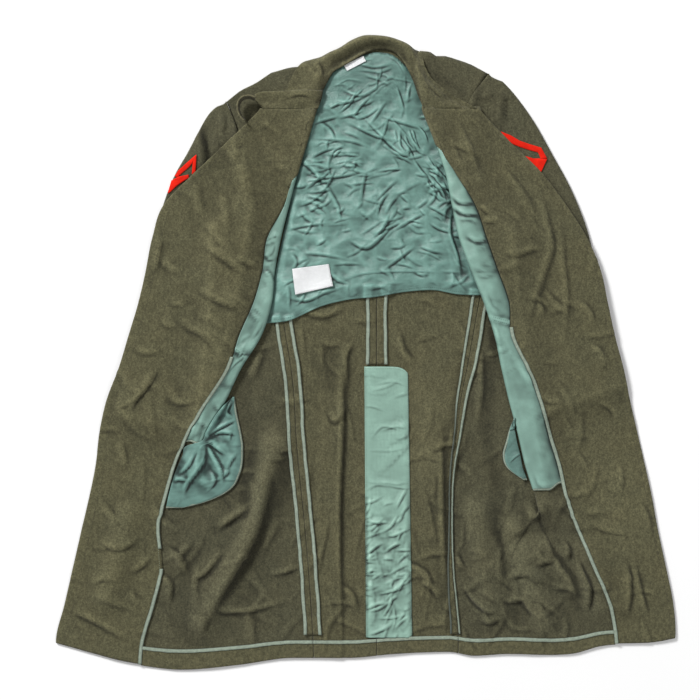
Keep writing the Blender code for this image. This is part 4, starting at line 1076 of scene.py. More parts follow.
class Front:
    """One front with its S-fold, from the side-back seam to the front edge."""

    def __init__(self, side, table, armhole, shoulder, sleeve, opening):
        self.side = side
        self.at = curves(FRONT_COLUMNS, table)
        self.armhole = curves(ARMHOLE_COLUMNS, armhole)["x"]
        self.out = SIDES[side]
        self.shoulder = shoulder
        self.sleeve = spaced(SLEEVE_COLUMNS, sleeve, SLEEVE_ROWS)
        self.opening = dict(zip(OPENING_COLUMNS, opening))
        self.plan()
        heights = row_heights()
        inside = (heights >= self.opening["strip_to"]) & (heights <= self.opening["strip_from"])
        strip = np.nonzero(inside)[0]
        self.strip_first = SHOULDER_ROWS + strip[0]
        self.strip_last = SHOULDER_ROWS + strip[-1]
        self.tape_first = SHOULDER_ROWS + int(np.argmax(heights <= self.opening["tape_from"]))

    def relaxed(self, y):
        """0 where the front is folded, 1 where it lies open in one layer."""
        start, end = self.opening["relax_from"], self.opening["relax_to"]
        return ease((start - y) / (start - end))

    def flattened(self, y):
        """As relaxed, but later: the layers come down only where they no longer lie on each other."""
        return ease((self.relaxed(y) - FLATTEN_FROM) / (1 - FLATTEN_FROM))

    def folded(self, y):
        """Plan positions of rows whose front lies in an S; y has one column for each of the grid's."""
        out = self.out
        seam = self.at["seam"](y) + out * EDGE_GAP / 2
        side = self.at["side"](y)
        fold = self.at["fold"](y) + out * TURN_RADIUS
        edge = self.at["edge"](y)
        turned = side - out * TURN_RADIUS
        middle = np.where(y < PIT_Y, turned, self.armhole(y))
        inner = fold + out * np.maximum(LEAST_STRIP, out * (self.at["facing"](y) - fold))
        x = np.zeros(y.shape)
        for first, last, start, end in ((0, SIDE, seam, turned), (MIDDLE, FOLD, middle, fold),
                                        (TOP, INNER, fold, inner), (INNER, EDGE, inner, edge)):
            t = np.arange(last - first + 1) / (last - first)
            cut = slice(first, last + 1)
            x[:, cut] = blend(start[:, cut], end[:, cut], t)
        bow = TURN_RADIUS * np.sin(math.pi * np.arange(1, TURN_CELLS) / TURN_CELLS)
        x[:, SIDE + 1:MIDDLE] = turned[:, SIDE + 1:MIDDLE] + out * bow
        x[:, FOLD + 1:TOP] = fold[:, FOLD + 1:TOP] - out * bow
        return x

    def opened(self, y):
        """Plan positions of rows that lie open in one layer."""
        seam = self.at["seam"](y) + self.out * EDGE_GAP / 2
        inner, edge = self.at["facing"](y), self.at["edge"](y)
        stations = (0, SIDE, MIDDLE, FOLD, TOP, INNER)
        run = np.concatenate([[0], np.cumsum(list(OPEN_WIDTHS.values()))])
        share = np.interp(np.arange(INNER + 1), stations, run / run[-1])
        x = np.zeros(y.shape)
        x[:, :INNER + 1] = blend(seam[:, :INNER + 1], inner[:, :INNER + 1], share)
        x[:, INNER:] = blend(inner[:, INNER:], edge[:, INNER:], np.arange(FACING_CELLS + 1) / FACING_CELLS)
        return x

    def rows_at(self, y):
        return blend(self.folded(y), self.opened(y), self.relaxed(y))

    def plan(self):
        """Plan positions of every point, and the mask of the cells that exist."""
        heights = row_heights()
        rows = SHOULDER_ROWS + len(heights)
        nominal = np.repeat(heights[:, None], EDGE + 1, axis=1)
        grid = np.zeros((rows, EDGE + 1, 3))
        grid[SHOULDER_ROWS:, :, 0], grid[SHOULDER_ROWS:, :, 1] = bent_rows(self.rows_at, nominal)
        fill_shoulder(grid, slice(MIDDLE, FOLD + 1), self.shoulder[::-1])
        grid[:SHOULDER_ROWS, :MIDDLE] = grid[:SHOULDER_ROWS, MIDDLE:MIDDLE + 1]
        grid[:SHOULDER_ROWS, FOLD + 1:] = grid[:SHOULDER_ROWS, FOLD:FOLD + 1]
        self.grid = grid
        mask = np.ones((rows - 1, EDGE), bool)
        mask[:SHOULDER_ROWS, FOLD:] = False
        mask[:PIT_ROW, :MIDDLE] = False
        self.mask = mask

    def part(self, first, last):
        """Mask of the columns from first to last."""
        keep = self.mask.copy()
        keep[:, :first] = False
        keep[:, last:] = False
        return keep

    def raise_columns(self, heap, first, last, below):
        """Rest the columns from first to last on the heap, or on the ground where the front is open."""
        columns = slice(first, last + 1)
        trial = heap.settle(self.grid[:, columns], WOOL, below=below)
        t = self.flattened(self.grid[:, columns, 1])
        self.grid[:, columns, 2] = blend(trial, self.ground[:, columns], t)

    def lay_floor(self, heap):
        """The part on the ground, and below the fold's end the whole open front."""
        x, y = self.grid[..., 0], self.grid[..., 1]
        self.ground = WOOL / 2 + relief(x, y)
        self.creases = FACING_CREASE_SHARE * np.maximum(crease_field(x, y, FACING_CREASES), 0)
        self.ground += self.creases * self.relaxed(y)
        self.grid[..., 2] = self.ground
        heap.cover(self.grid, self.part(0, SIDE), WOOL)

    def lay_middle(self, heap):
        """The part that lies outside up, between the two folds."""
        self.raise_columns(heap, MIDDLE, FOLD, below=SATIN + 2 * SEAM_GAP)
        self.turn(SIDE, MIDDLE)
        heap.cover(self.grid, self.part(SIDE, FOLD), WOOL)

    def lay_top(self, heap):
        """The part turned outwards over the sleeve."""
        self.raise_columns(heap, TOP, EDGE, below=0.0)
        x, y = self.grid[:, TOP:, 0], self.grid[:, TOP:, 1]
        folded = 1 - self.relaxed(y)
        self.grid[:, TOP:, 2] += np.maximum(self.creases[:, TOP:] + wool_wrinkles(x, y), 0) * folded
        self.turn(FOLD, TOP)
        heap.cover(self.grid, self.part(FOLD, EDGE), WOOL)

    def turn(self, first, last):
        """Heights of a U-turn's inner points."""
        low, high = self.grid[:, first, 2], self.grid[:, last, 2]
        for column in range(first + 1, last):
            share = (1 - math.cos(math.pi * (column - first) / (last - first))) / 2
            t = self.flattened(self.grid[:, column, 1])
            self.grid[:, column, 2] = blend(blend(low, high, share), self.ground[:, column], t)

    def make(self):
        """The front's wall, and what is sewn on its inside."""
        wall("front_" + self.side, self.grid, self.mask, WOOL, OUTER_WOOL)
        self.slant = [(self.strip_first + n, column)
                      for n, column in enumerate(np.linspace(FOLD, INNER, STRIP_SLANT + 1).astype(int))]
        self.make_facing()
        strip, above = self.make_strip()
        self.make_binding(strip, above)
        hem_grid = self.inside(WOOL + SEAM_GAP)
        pull_in(hem_grid[:, INNER], hem_grid[:, INNER - 1], EDGE_GAP)
        make_hem("front_" + self.side, hem_grid[-HEM_ROWS - 1:, :INNER + 1])

    def inside(self, distance):
        """The front's grid moved to a distance on the coat's inside."""
        return moved_out(self.grid, self.mask, distance, self.out)

    def make_facing(self):
        """The facing, from the gorge down, rolled over the front edge, with its topstitching."""
        facing = self.mask.copy()
        facing[:SHOULDER_ROWS] = False
        facing[:, :FOLD] = False
        facing[self.strip_first:, :INNER] = False
        for row, column in self.slant:
            facing[row, column:INNER] = True
        top = WOOL + SEAM_GAP
        grid = rolled(self.inside(top), EDGE, top / 2)
        grid[SHOULDER_ROWS, :, 1] += GORGE_OVERLAP[self.side]
        grid[SHOULDER_ROWS, :, 2] -= GORGE_DIP[self.side]
        facing = np.concatenate([facing, np.repeat(facing[:, -1:], len(ROLL_ANGLES), axis=1)], axis=1)
        below_gorge = np.arange(len(grid))[:, None] - SHOULDER_ROWS
        # Near the gorge the painted crest and hollow tone fades out
        wall("facing_" + self.side, grid, facing, WOOL, FACING_WOOL, worn=ease(below_gorge / CALM_ROWS))
        rows = grid[SHOULDER_ROWS + 2:-1, :EDGE + 1]
        from_edge = along_rows(rows[:, ::-1], np.array([0.0, TOPSTITCH[self.side]]))[:, 1]
        STITCH_LINES["front"].append(from_edge + (0, 0, WOOL / 2 + 0.1))

    def make_strip(self):
        """Front lining, from the facing round the fold to the hidden side, with its cross seam."""
        side, first, last = self.side, self.strip_first, self.strip_last
        grid = self.inside(WOOL / 2 + 2 * SEAM_GAP + SATIN / 2)
        x, y = grid[..., 0], grid[..., 1]
        crumple = crease_field(x, y, STRIP_CREASES, sharp=True) + STRIP_CRUMPLE * crumple_of(x, y)
        lively = ease((y - CALM_BELOW[side]) / CALM_RUN)
        crumple += STRIP_SCATTER * crease_field(x, y, SATIN_SCATTER, sharp=True) * lively
        crumple = np.maximum(crumple + STRIP_PUFF, 0)
        x0, y0, x1, y1 = CROSS_SEAMS[side]
        above = y - y0 - (x - x0) * (y1 - y0) / (x1 - x0)
        grid[..., 2] += CROSS_RISE * ease(above / 1.5) * ease((CROSS_FOLD - above) / 3)
        shown = TOP - TURN_CELLS // 2
        fade = np.zeros(EDGE + 1)
        fade[shown:INNER + 1] = np.sin(math.pi * np.linspace(0.08, 0.92, INNER + 1 - shown))
        grid[..., 2] += crumple * fade
        pull_in(grid[:, INNER], grid[:, INNER - 1], 2 * EDGE_GAP)
        pull_in(grid[first], grid[first + 1], 2 * EDGE_GAP)
        lining = np.zeros_like(self.mask)
        lining[first:last, FOLD - MIDDLE_CELLS // 4:INNER] = True
        for row, column in self.slant:
            lining[row, column:] = False
        last_rows = np.arange(last - STRIP_END_ROWS, last + 1)
        ends = STRIP_ENDS[side]
        bend = ends["rise"] * ease((self.out * grid[last_rows, :, 0] - ends["from"]) / ends["run"])
        grid[last_rows, :, 1] += bend * ease(np.arange(STRIP_END_ROWS + 1) / STRIP_END_ROWS)[:, None]
        shade = np.interp(np.arange(EDGE + 1), (TOP - 4, TOP + 2, INNER - 3, INNER), STRIP_SHADES)
        wall("lining_front_" + side, grid, lining, SATIN, SATIN_PAINTED_SHEEN, shade=shade)
        foot = grid[last, TOP - 3:INNER + 1]
        lay_rim("strip_rim_" + side, foot, grid[last - 3, TOP - 3:INNER + 1] - foot, SATIN)
        return grid, above

    def make_binding(self, strip, above):
        """Binding tape round the facing's inner edge, and the stitches along the strip's cross seam."""
        grid = self.inside(WOOL * 1.5 + 4 * SEAM_GAP + TAPE / 2)
        tape = wrapped_tape(grid[self.tape_first:, INNER:], BINDING_WIDTH, WOOL)
        STITCH_LINES["tape"].append(tape[:, 5] + (0, 0, TAPE / 2))
        seen = slice(self.strip_first, self.strip_last), slice(TOP, INNER)
        for offset in CROSS_STITCHES:
            line = crossing(strip[seen], (above - offset)[seen])
            STITCH_LINES["satin"].append(line + (0, 0, SATIN / 2 + 0.2))
        shown = whole(tape)
        along = tape[:-1, 0, 1]
        hidden = (along < TAPE_HIDDEN[self.side][0]) & (along > TAPE_HIDDEN[self.side][1])
        shown[hidden] = False
        lay_tape("facing_binding_" + self.side, tape, shown)


def crossing(points, values):
    """In each column of a grid, the point at which its values first fall below zero."""
    below = np.argmax(values < 0, axis=0)
    after = np.maximum(below, 1)
    column = np.arange(points.shape[1])
    high, low = values[after - 1, column], values[after, column]
    share = np.clip(high / np.maximum(high - low, TINY), 0, 1)[:, None]
    return blend(points[after - 1, column], points[after, column], share)


def wrapped_tape(points, width, drop):
    """A tape along the first column of a grid, folded over that edge."""
    width = width * (1 + TAPE_WAVER * FOLDS(points[:, 0, 0], points[:, 0, 1], 15)[:, None])
    flat = along_rows(points, np.array(TAPE_COLUMNS) * width)
    flat[:, -1, 2] -= TAPE_EDGE_DROP
    out = unit(flat[:, 0] - flat[:, 1])
    first = flat[:, 0] + out * 0.9 - np.array([0, 0, 0.5])
    second = flat[:, 0] + out * 1.2 - np.array([0, 0, drop * 0.8])
    return np.concatenate([second[:, None], first[:, None], flat], axis=1)


def lay_tape(name, tape, mask, dim=0.0):
    """A tape's wall, darker at its edges."""
    wall(name, tape, mask, TAPE, BINDING_CLOTH, shade=np.array(TAPE_SHADE) + dim, worn=0.0)


def make_hem(name, points):
    """A turned-up hem that rolls into the panel's lower edge, and the tape along its upper edge."""
    turned = points.transpose(1, 0, 2)
    roll = rolled(turned, turned.shape[1] - 1, (WOOL + SEAM_GAP) / 2)
    wall("hem_" + name, roll, whole(roll), WOOL, FACING_WOOL)
    lifted = turned + np.array([0, 0, WOOL / 2 + SEAM_GAP + TAPE / 2])
    tape = wrapped_tape(lifted, BINDING_WIDTH, WOOL)
    lay_tape("hem_binding_" + name, tape, whole(tape))


class Back:
    """One half of the back, from the centre-back seam to the side-back seam and armhole."""

    def __init__(self, side, front_table, armhole, neck):
        self.side = side
        self.out = SIDES[side]
        seam = curves(FRONT_COLUMNS, front_table)["seam"]
        hole = curves(ARMHOLE_COLUMNS, armhole)["x"]
        pit = min(y for y, _ in armhole)
        heights = row_heights()
        nominal = np.repeat(heights[:, None], BACK_CELLS + 1, axis=1)
        centre = CENTRE_X + self.out * EDGE_GAP / 2
        share = np.arange(BACK_CELLS + 1) / BACK_CELLS

        def rows_at(y):
            outer = np.where(y > pit, hole(y), seam(y)) - self.out * EDGE_GAP / 2
            return blend(centre, outer, share)
        grid = np.zeros((SHOULDER_ROWS + len(heights), BACK_CELLS + 1, 3))
        grid[SHOULDER_ROWS:, :, 0], grid[SHOULDER_ROWS:, :, 1] = bent_rows(rows_at, nominal)
        middle = (neck[0][0] + self.out * EDGE_GAP / 2, neck[0][1])
        fill_shoulder(grid, slice(None), (middle, *neck[1:]))
        self.grid = grid

    def lay(self, heap):
        x, y = self.grid[..., 0], self.grid[..., 1]
        self.grid[..., 2] = np.maximum(heap.settle(self.grid, WOOL), WOOL / 2 + relief(x, y))

    def make(self):
        mask = whole(self.grid)
        wall("back_" + self.side, self.grid, mask, WOOL, INNER_WOOL)
        hem_grid = moved_out(self.grid, mask, WOOL + SEAM_GAP, self.out)
        make_hem("back_" + self.side, hem_grid[-HEM_ROWS - 1:])


def lay_seam(name, centre, heap):
    """A seam pressed open: two allowances, each with a bound free edge."""
    (start, end), width = ALLOWANCES[name]
    y = np.linspace(start, end, int(abs(start - end) / ALLOWANCE_STEP) + 1)
    x = np.array([float(centre(v)) for v in y])
    share = np.arange(ALLOWANCE_CELLS + 1) / ALLOWANCE_CELLS
    closed = name == CLOSED_SEAM
    laid = []
    for side, out in SIDES.items():
        open_rows = ((start, width, ALLOWANCE_TAPE), (end, width, ALLOWANCE_TAPE))
        shows = curves(SHOWS_COLUMNS, CLOSED_SHOWS[side] if closed else open_rows)
        reach, seen = shows["reach"](y), shows["tape"](y)
        free = reach + 0.07 * reach * RIPPLE(y, x * 0 + 7 * out, 40) + 0.4 * FOLDS(y, x * 0, 13)
        grid = empty_grid(len(y) - 1, ALLOWANCE_CELLS)
        grid[..., 0] = x[:, None] + out * blend(EDGE_GAP / 2, free[:, None], share)
        grid[..., 1] = y[:, None]
        grid[..., 2] = heap.settle(grid, WOOL, gap=SEAM_GAP, sag=0.1, passes=30, reach=0)
        lift = 1.3 * np.maximum(RIPPLE(y, x * 0 + 31 * out, 55) + 0.25, 0)
        grid[..., 2] += lift[:, None] * share**2
        wall(f"allowance_{name}_{side}", grid, whole(grid), WOOL, INNER_WOOL)
        edge = grid[:, ::-1] + np.array([0, 0, WOOL / 2 + SEAM_GAP + TAPE / 2])
        tape = wrapped_tape(edge, seen[:, None], WOOL)
        dim = ease((DIM_FROM - y) / DIM_RUN)[:, None] * (SEAM_DIM[side] if closed else 0.0)
        lay_tape(f"binding_{name}_{side}", tape, whole(tape), dim)
        laid += [(grid, WOOL), (tape, TAPE)]
    for grid, thickness in laid:
        heap.cover(grid, whole(grid), thickness)


def lay_stay(heap):
    """The vent stay along the foot of the centre-back seam."""
    grid = empty_grid(STAY_ROWS, STAY_CELLS)
    share = np.arange(STAY_ROWS + 1)[:, None] / STAY_ROWS
    across = np.arange(STAY_CELLS + 1) / STAY_CELLS
    top, foot = (np.linspace(*ends, STAY_CELLS + 1) for ends in (STAY_TOP_EDGES, STAY_FOOT_EDGES))
    grid[..., 0] = blend(top, foot, share)
    grid[..., 1] = np.linspace(*STAY_ENDS, STAY_ROWS + 1)[:, None]
    grid[..., 1] -= STAY_CORNER * across**9 * (1 - share)**3
    z = heap.settle(grid, SATIN, gap=SEAM_GAP, sag=0.1, passes=40)
    x, y = grid[..., 0], grid[..., 1]
    low = ease((STAY_CRINKLED_FROM - y) / 60)
    sharp = np.maximum(crease_field(x, y, STAY_SCATTER, sharp=True) + 0.6, 0)
    rough = 0.6 * crumple_of(x, y) * (0.1 + 0.9 * low) + sharp
    grid[..., 2] = z + rough * inset_from(across, 0.12)
    heap.cover(grid, whole(grid), SATIN)
    wall("vent_stay", grid, whole(grid), SATIN, STAY_SATIN_PAINTED_SHEEN)
    lift = np.array([0, 0, SATIN / 2])
    STITCH_LINES["stay"] += [line + lift for line in (grid[:, 1], grid[:, -2], grid[2])]


def crumple_of(x, y):
    """Flat-sided unevenness of satin, never below zero."""
    warp = 7 * SWELL(x, y, 55)
    bend = 5 * RIPPLE(x, y, 40)
    large = facets(x + warp, (y - bend) * 1.25, 46, 5)
    small = facets(x - bend, y * 1.1 + warp, 21, 8)
    calm = ease(SWELL(x, y, 90) + 0.6)
    return 0.11 * large + 0.09 * calm * small


def lay_lining(heap):
    """The half-back lining, from the neck to its hem."""
    line = spaced(LINING_COLUMNS, LINING, LINING_CELLS)
    v = np.linspace(0, 1, LINING_ROWS + 1)[:, None]
    grid = empty_grid(LINING_ROWS, LINING_CELLS)
    grid[..., 0] = blend(line["top_x"], line["hem_x"], v**LINING_WIDENING)
    grid[..., 1] = blend(line["top_y"], line["hem_y"], v)
    z = heap.settle(grid, SATIN, sag=0.06, passes=60)
    x, y = grid[..., 0], grid[..., 1]
    across = np.arange(LINING_CELLS + 1)[None] / LINING_CELLS
    inset = inset_from(across, 0.05) * ease(v / 0.04) * (0.3 + 0.7 * ease((1 - v) / 0.06))
    rough = crease_field(x, y, LINING_CREASES + LINING_SCATTER, sharp=True) + crumple_of(x, y) + 1.0
    grid[..., 2] = z + np.maximum(rough, 0) * inset * (1 - 0.5 * ease((y - 440) / 70))
    heap.cover(grid, whole(grid), SATIN)
    shade = 0.32 * ease((y - 400) / 130) + 0.05 * ease((150 - y) / 60)
    wall("lining_back", grid, whole(grid), SATIN, SATIN_CLOTH, shade=shade)
    STITCH_LINES["satin"].append(grid[-4] + (0, 0, SATIN / 2))


def lay_label(name, corners, curl, heap):
    """A small label with four corners, laid on the heap."""
    a, b, c, d = (np.array(p, float) for p in corners)
    share = np.arange(LABEL_CELLS + 1) / LABEL_CELLS
    u, v = share[None, :, None], share[:, None, None]
    grid = empty_grid(LABEL_CELLS, LABEL_CELLS)
    grid[..., :2] = blend(blend(a, b, u), blend(d, c, u), v)
    z = heap.settle(grid, TAPE, sag=0.01, passes=80, gap=0.3)
    grid[..., 2] = z + curl * ease((v[..., 0] - 0.5) * 2) * (0.4 + 0.6 * np.abs(u[..., 0] - 0.4))
    lift = np.array([0, 0, TAPE / 2])
    rim = [grid[1, 1:-1], grid[-2, 1:-1], grid[1:-1, 1], grid[1:-1, -2]]
    STITCH_LINES["label"] += [line + lift for line in rim]
    heap.cover(grid, whole(grid), TAPE)
    wall(name, grid, whole(grid), TAPE, LABEL_CLOTH, worn=0.0)


def lay_chevron(name, bars, heap):
    """Red bars with a raised, rounded edge on the sleeve."""
    share = np.arange(CHEVRON_CELLS + 1) / CHEVRON_CELLS
    grids = []
    masks = []
    for rows in bars:
        bar = named(CHEVRON_COLUMNS, rows)
        t = np.linspace(0, len(rows) - 1, (len(rows) - 1) * CHEVRON_STEPS + 1)
        line = {key: np.interp(t, np.arange(len(rows)), values)[:, None] for key, values in bar.items()}
        grid = empty_grid(len(t) - 1, CHEVRON_CELLS)
        for k, axis in enumerate("xy"):
            grid[..., k] = blend(line["outer_" + axis], line["inner_" + axis], share)
        grid[..., 2] = heap.settle(grid, TAPE, gap=0.2, sag=0.1, passes=20) + 0.5 * np.sin(math.pi * share)
        heap.cover(grid, whole(grid), TAPE)
        grids.append(grid)
        masks += [True] * (len(t) - 1) + [False]
    grid = np.concatenate(grids)
    mask = np.repeat(np.array(masks[:-1])[:, None], CHEVRON_CELLS, axis=1)
    wall(name, grid, mask, TAPE, CHEVRON_CLOTH)


def lay_sleeve(front, heap):
    """A sleeve flattened to two layers: one closed ring at each section, open at armhole and cuff."""
    out = front.out
    start, end = (np.stack([front.sleeve[edge + "_x"], front.sleeve[edge + "_y"]], axis=-1)
                  for edge in ("inner", "outer"))
    rise = WOOL + SLEEVE_HOLLOW
    inset = (end - start) / np.linalg.norm(end - start, axis=1, keepdims=True) * rise / 2
    grown = 0.1 + 0.9 * ease(np.arange(SLEEVE_ROWS + 1)[:, None] / SLEEVE_OPENS_OVER)
    inset *= grown
    k = np.arange(SLEEVE_CELLS + 1) / SLEEVE_CELLS
    lower = empty_grid(SLEEVE_ROWS, SLEEVE_CELLS)
    lower[..., :2] = blend((start + inset)[:, None], (end - inset)[:, None], k[None, :, None])
    n = np.arange(SLEEVE_ROWS + 1)[:, None] / SLEEVE_ROWS
    bow = np.maximum(np.minimum(1, 5.6 * k * (1 - k)), 1 - n * SLEEVE_ROWS / 5)
    head = np.maximum(0, 1 - n / SLEEVE_HEAD_SHARE) * bow
    lower[..., 0] = blend(lower[..., 0], front.armhole(lower[..., 1]) + out * 0.3, head)
    lower[..., 2] = heap.settle(lower, WOOL)
    upper = lower.copy()
    x, y = upper[..., 0], upper[..., 1]
    wave = 0.8 * np.maximum(SWELL(x, y, 70) + 0.2, 0) + 0.4 * np.maximum(RIPPLE(x, y, 25), 0)
    upper[..., 2] += rise + crease_field(x, y, SLEEVE_CREASES) + wave * np.sin(math.pi * k)
    beside = heap.top[heap.place(front.armhole(y) - out * 8, y)] - WOOL / 2
    upper[..., 2] = blend(np.maximum(beside, lower[..., 2]), upper[..., 2], grown)
    angles = math.pi * np.arange(1, SLEEVE_TURN) / SLEEVE_TURN

    def turn(column, neighbour):
        low, high = lower[:, column], upper[:, column]
        away = low[:, :2] - lower[:, neighbour, :2]
        away /= np.linalg.norm(away, axis=-1, keepdims=True)
        made = np.zeros((SLEEVE_ROWS + 1, len(angles), 3))
        bulge = away * grown * rise / 2
        made[..., :2] = low[:, None, :2] + bulge[:, None] * np.sin(angles)[None, :, None]
        made[..., 2] = blend(low[:, 2:3], high[:, 2:3], (1 - np.cos(angles))[None] / 2)
        return made
    ring = np.concatenate([lower, turn(-1, -2), upper[:, ::-1], turn(0, 1)[:, ::-1], lower[:, :1]], axis=1)
    if out > 0:
        ring = ring[:, ::-1].copy()
    heap.cover(upper, whole(upper), WOOL)
    beyond = out * ring[..., 0] - out * front.at["edge"](ring[..., 1])
    shade = 0.6 * np.exp(-(beyond / 7)**2)
    wall("sleeve_" + front.side, ring, whole(ring), WOOL, OUTER_WOOL, ring=True, shade=shade)


def collar_sections():
    """Plan and design heights of the collar's points, and how far each rests on the heap."""
    columns = len(COLLAR_SHAPES["over"][0])
    plan = np.zeros((len(COLLAR), columns, 2))
    rests = np.zeros((len(COLLAR), columns))
    lift = np.zeros((len(COLLAR), columns))
    for n, row in enumerate(COLLAR):
        section = dict(zip(COLLAR_COLUMNS, row))
        neck, roll, edge = (np.array([section[line + "_x"], section[line + "_y"]])
                            for line in ("neck", "roll", "edge"))
        shares, heights = COLLAR_SHAPES[section["lies"]]
        plan[n] = [blend(neck, roll, s) if s <= 1 else blend(roll, edge, s - 1) for s in shares]
        lift[n] = heights
        if section["lies"] == "over":
            lift[n] += section["lift"]
            rests[n] = 1
        rests[n, 0] = 1
    packed = np.concatenate([plan, rests[..., None], lift[..., None]], axis=-1)
    packed = finer(packed, COLLAR_FINE[0])
    packed = finer(packed.transpose(1, 0, 2), COLLAR_FINE[1]).transpose(1, 0, 2)
    grid = np.concatenate([packed[..., :2], packed[..., 3:]], axis=-1)
    return grid, packed[..., 2], packed[..., 3]


def lay_collar_under(grid, heap):
    """The part of the collar that rolls back below the neck, laid before anything else."""
    lies = [row[0] for row in COLLAR]
    mask = whole(grid)
    mask[:, :COLLAR_UNDER_CELL * COLLAR_FINE[1]] = False
    for n, pair in enumerate(zip(lies, lies[1:])):
        if "under" not in pair or "over" in pair:
            mask[n * COLLAR_FINE[0]:(n + 1) * COLLAR_FINE[0]] = False
    heap.cover(grid, mask, COLLAR_CLOTH)


def lay_collar(grid, rests, lift, heap):
    """Rest the collar on the shoulders."""
    trial = heap.settle(grid, COLLAR_CLOTH, sag=0.05, passes=40)
    folds = crease_field(grid[..., 0], grid[..., 1], COLLAR_CREASES)
    grid[..., 2] = blend(lift, trial + lift + np.maximum(folds, 0), rests)


def sew_collar(grid, fronts):
    """Bring the collar's ends to the height of the fronts at the gorge, and make it."""
    for section, front in ((0, fronts[0]), (-1, fronts[1])):
        gorge = front.grid[SHOULDER_ROWS, TOP:]
        order = np.argsort(gorge[:, 0])
        under = np.interp(grid[section, :, 0], gorge[order, 0], gorge[order, 2])
        wanted = under + WOOL * 1.5 + SEAM_GAP - COLLAR_CLOTH / 2
        change = wanted - grid[section, :, 2]
        for k in range(COLLAR_END_ROWS):
            row = k if section == 0 else -1 - k
            grid[row, :, 2] += change * ease(1 - k / COLLAR_END_ROWS)
        grid[section, :, 2] -= GORGE_DIP[front.side]
    grid[..., 2] = np.maximum(grid[..., 2], COLLAR_CLOTH / 2)
    # Towards the collar's ends the painted crest and hollow tone fades out
    from_end = np.arange(len(grid))[:, None]
    worn = ease(np.minimum(from_end, len(grid) - 1 - from_end) / CALM_ROWS)
    wall("collar", grid, whole(grid), COLLAR_CLOTH, FACING_WOOL, worn=worn)


def make_collar_tip():
    """The curled point of the collar's right end: a low upright loop."""
    turns = np.radians(np.linspace(TIP_FROM, TIP_TO, 72))
    shares = np.linspace(1, 0, 15)
    heights = [row[0] for row in TIP_ROWS]
    flare = curve(heights, [row[1] for row in TIP_ROWS])(shares)[:, None]
    grid = np.zeros((len(shares), len(turns), 3))
    lean = 1 + 0.04 * np.sin(3 * turns)[None]
    grid[..., 0] = TIP_CENTRE[0] + TIP_HALF_WIDTH * flare * lean * np.cos(turns)
    grid[..., 1] = TIP_CENTRE[1] + TIP_HALF_LENGTH * flare * lean * np.sin(turns)
    grid[..., 2] = TIP_FOOT + COLLAR_CLOTH / 2 + TIP_HEIGHT * shares[:, None]
    wall("collar_tip", grid, whole(grid), COLLAR_CLOTH, COLLAR_WOOL)


def lay_rim(name, edge, inward, thickness):
    """A narrow light rim along an edge."""
    across = unit(inward * (1, 1, 0))
    lift = np.array([0, 0, thickness / 2 + SEAM_GAP + RIM_CLOTH / 2])
    band = np.stack([edge - across * 0.9 - (0, 0, 0.6), edge - across * 0.5 + lift * 0.7,
                     edge + across * 1.2 + lift, edge + across * RIM_WIDTH + lift], axis=1)
    wall(name, band, whole(band), RIM_CLOTH, BINDING_CLOTH, shade=np.array(RIM_SHADE), worn=0.0)
    STITCH_LINES["tape"].append(band[:, 2] + (0, 0, RIM_CLOTH / 2))


def lay_pocket(side, rows, heap):
    """A pocket bag that hangs out from under the fold."""
    name = "pocket_" + side
    y = np.linspace(rows[0][0], rows[-1][0], POCKET_ROWS + 1)
    near, far = (edge(y) for edge in curves(POCKET_COLUMNS, rows).values())
    share = np.arange(POCKET_CELLS + 1) / POCKET_CELLS
    grid = empty_grid(POCKET_ROWS, POCKET_CELLS)
    grid[..., 0] = blend(near[:, None], far[:, None], share)
    grid[..., 1] = y[:, None]
    z = heap.settle(grid, POCKET_CLOTH, sag=0.06, passes=60)
    down = np.arange(len(y))[:, None] / POCKET_ROWS
    inset = ease(np.minimum(1 - share, 1)[None] / 0.15) * ease((1 - down) / 0.1)
    x = grid[..., 0]
    rough = crease_field(x, grid[..., 1], POCKET_CREASES + SATIN_SCATTER, sharp=True)
    rough += 0.35 * crumple_of(x, grid[..., 1]) + 0.6
    grid[..., 2] = z + np.maximum(rough, 0) * inset
    edge = np.concatenate([grid[:, -1], grid[-1, -2::-1]])
    across = np.concatenate([grid[:, -4], grid[-4, -2::-1]]) - edge
    for _ in range(6):
        across[1:-1] = (across[:-2] + across[1:-1] + across[2:]) / 3
    lay_rim(name + "_rim", edge, across, POCKET_CLOTH)
    if side == "left":
        grid = grid[:, ::-1].copy()
    wall(name, grid, whole(grid), POCKET_CLOTH, SATIN_CLOTH, shade=POCKET_SHADE[side])


def stitches(name, lines, length, gap, width, material):
    """Rows of thread stitches along lines of points, joined in one mesh."""
    verts, faces = [], []
    for line in lines:
        line = np.asarray(line, float)
        run = np.concatenate([[0], np.cumsum(np.linalg.norm(np.diff(line, axis=0), axis=1))])
        starts = np.arange(gap, run[-1] - length, length + gap)
        ends = [np.stack([np.interp(at, run, line[:, k]) for k in range(3)], axis=-1)
                for at in (starts, starts + length)]
        along = ends[1] - ends[0]
        across = np.stack([-along[:, 1], along[:, 0], along[:, 0] * 0], axis=-1)
        across *= width / 2 / (np.linalg.norm(across, axis=1, keepdims=True) + TINY)
        up = np.array([0, 0, width * 0.6])
        for a, b, c in zip(*ends, across):
            first = len(verts)
            middle = (a + b) / 2
            verts += [a, a * 0.7 + b * 0.3 + c, middle + up, a * 0.7 + b * 0.3 - c,
                      b * 0.7 + a * 0.3 + c, b, b * 0.7 + a * 0.3 - c]
            faces += [(0, 1, 2), (0, 2, 3), (1, 4, 2), (2, 4, 5), (2, 5, 6), (2, 6, 3)]
            faces[-6:] = [tuple(first + k for k in face) for face in faces[-6:]]
    mesh = bpy.data.meshes.new(name)
    mesh.from_pydata(((np.array(verts) + SHIFT) * MM).tolist(), [], faces)
    mesh.materials.append(material)
    thing = placed(name, mesh)
    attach(thing, "root")


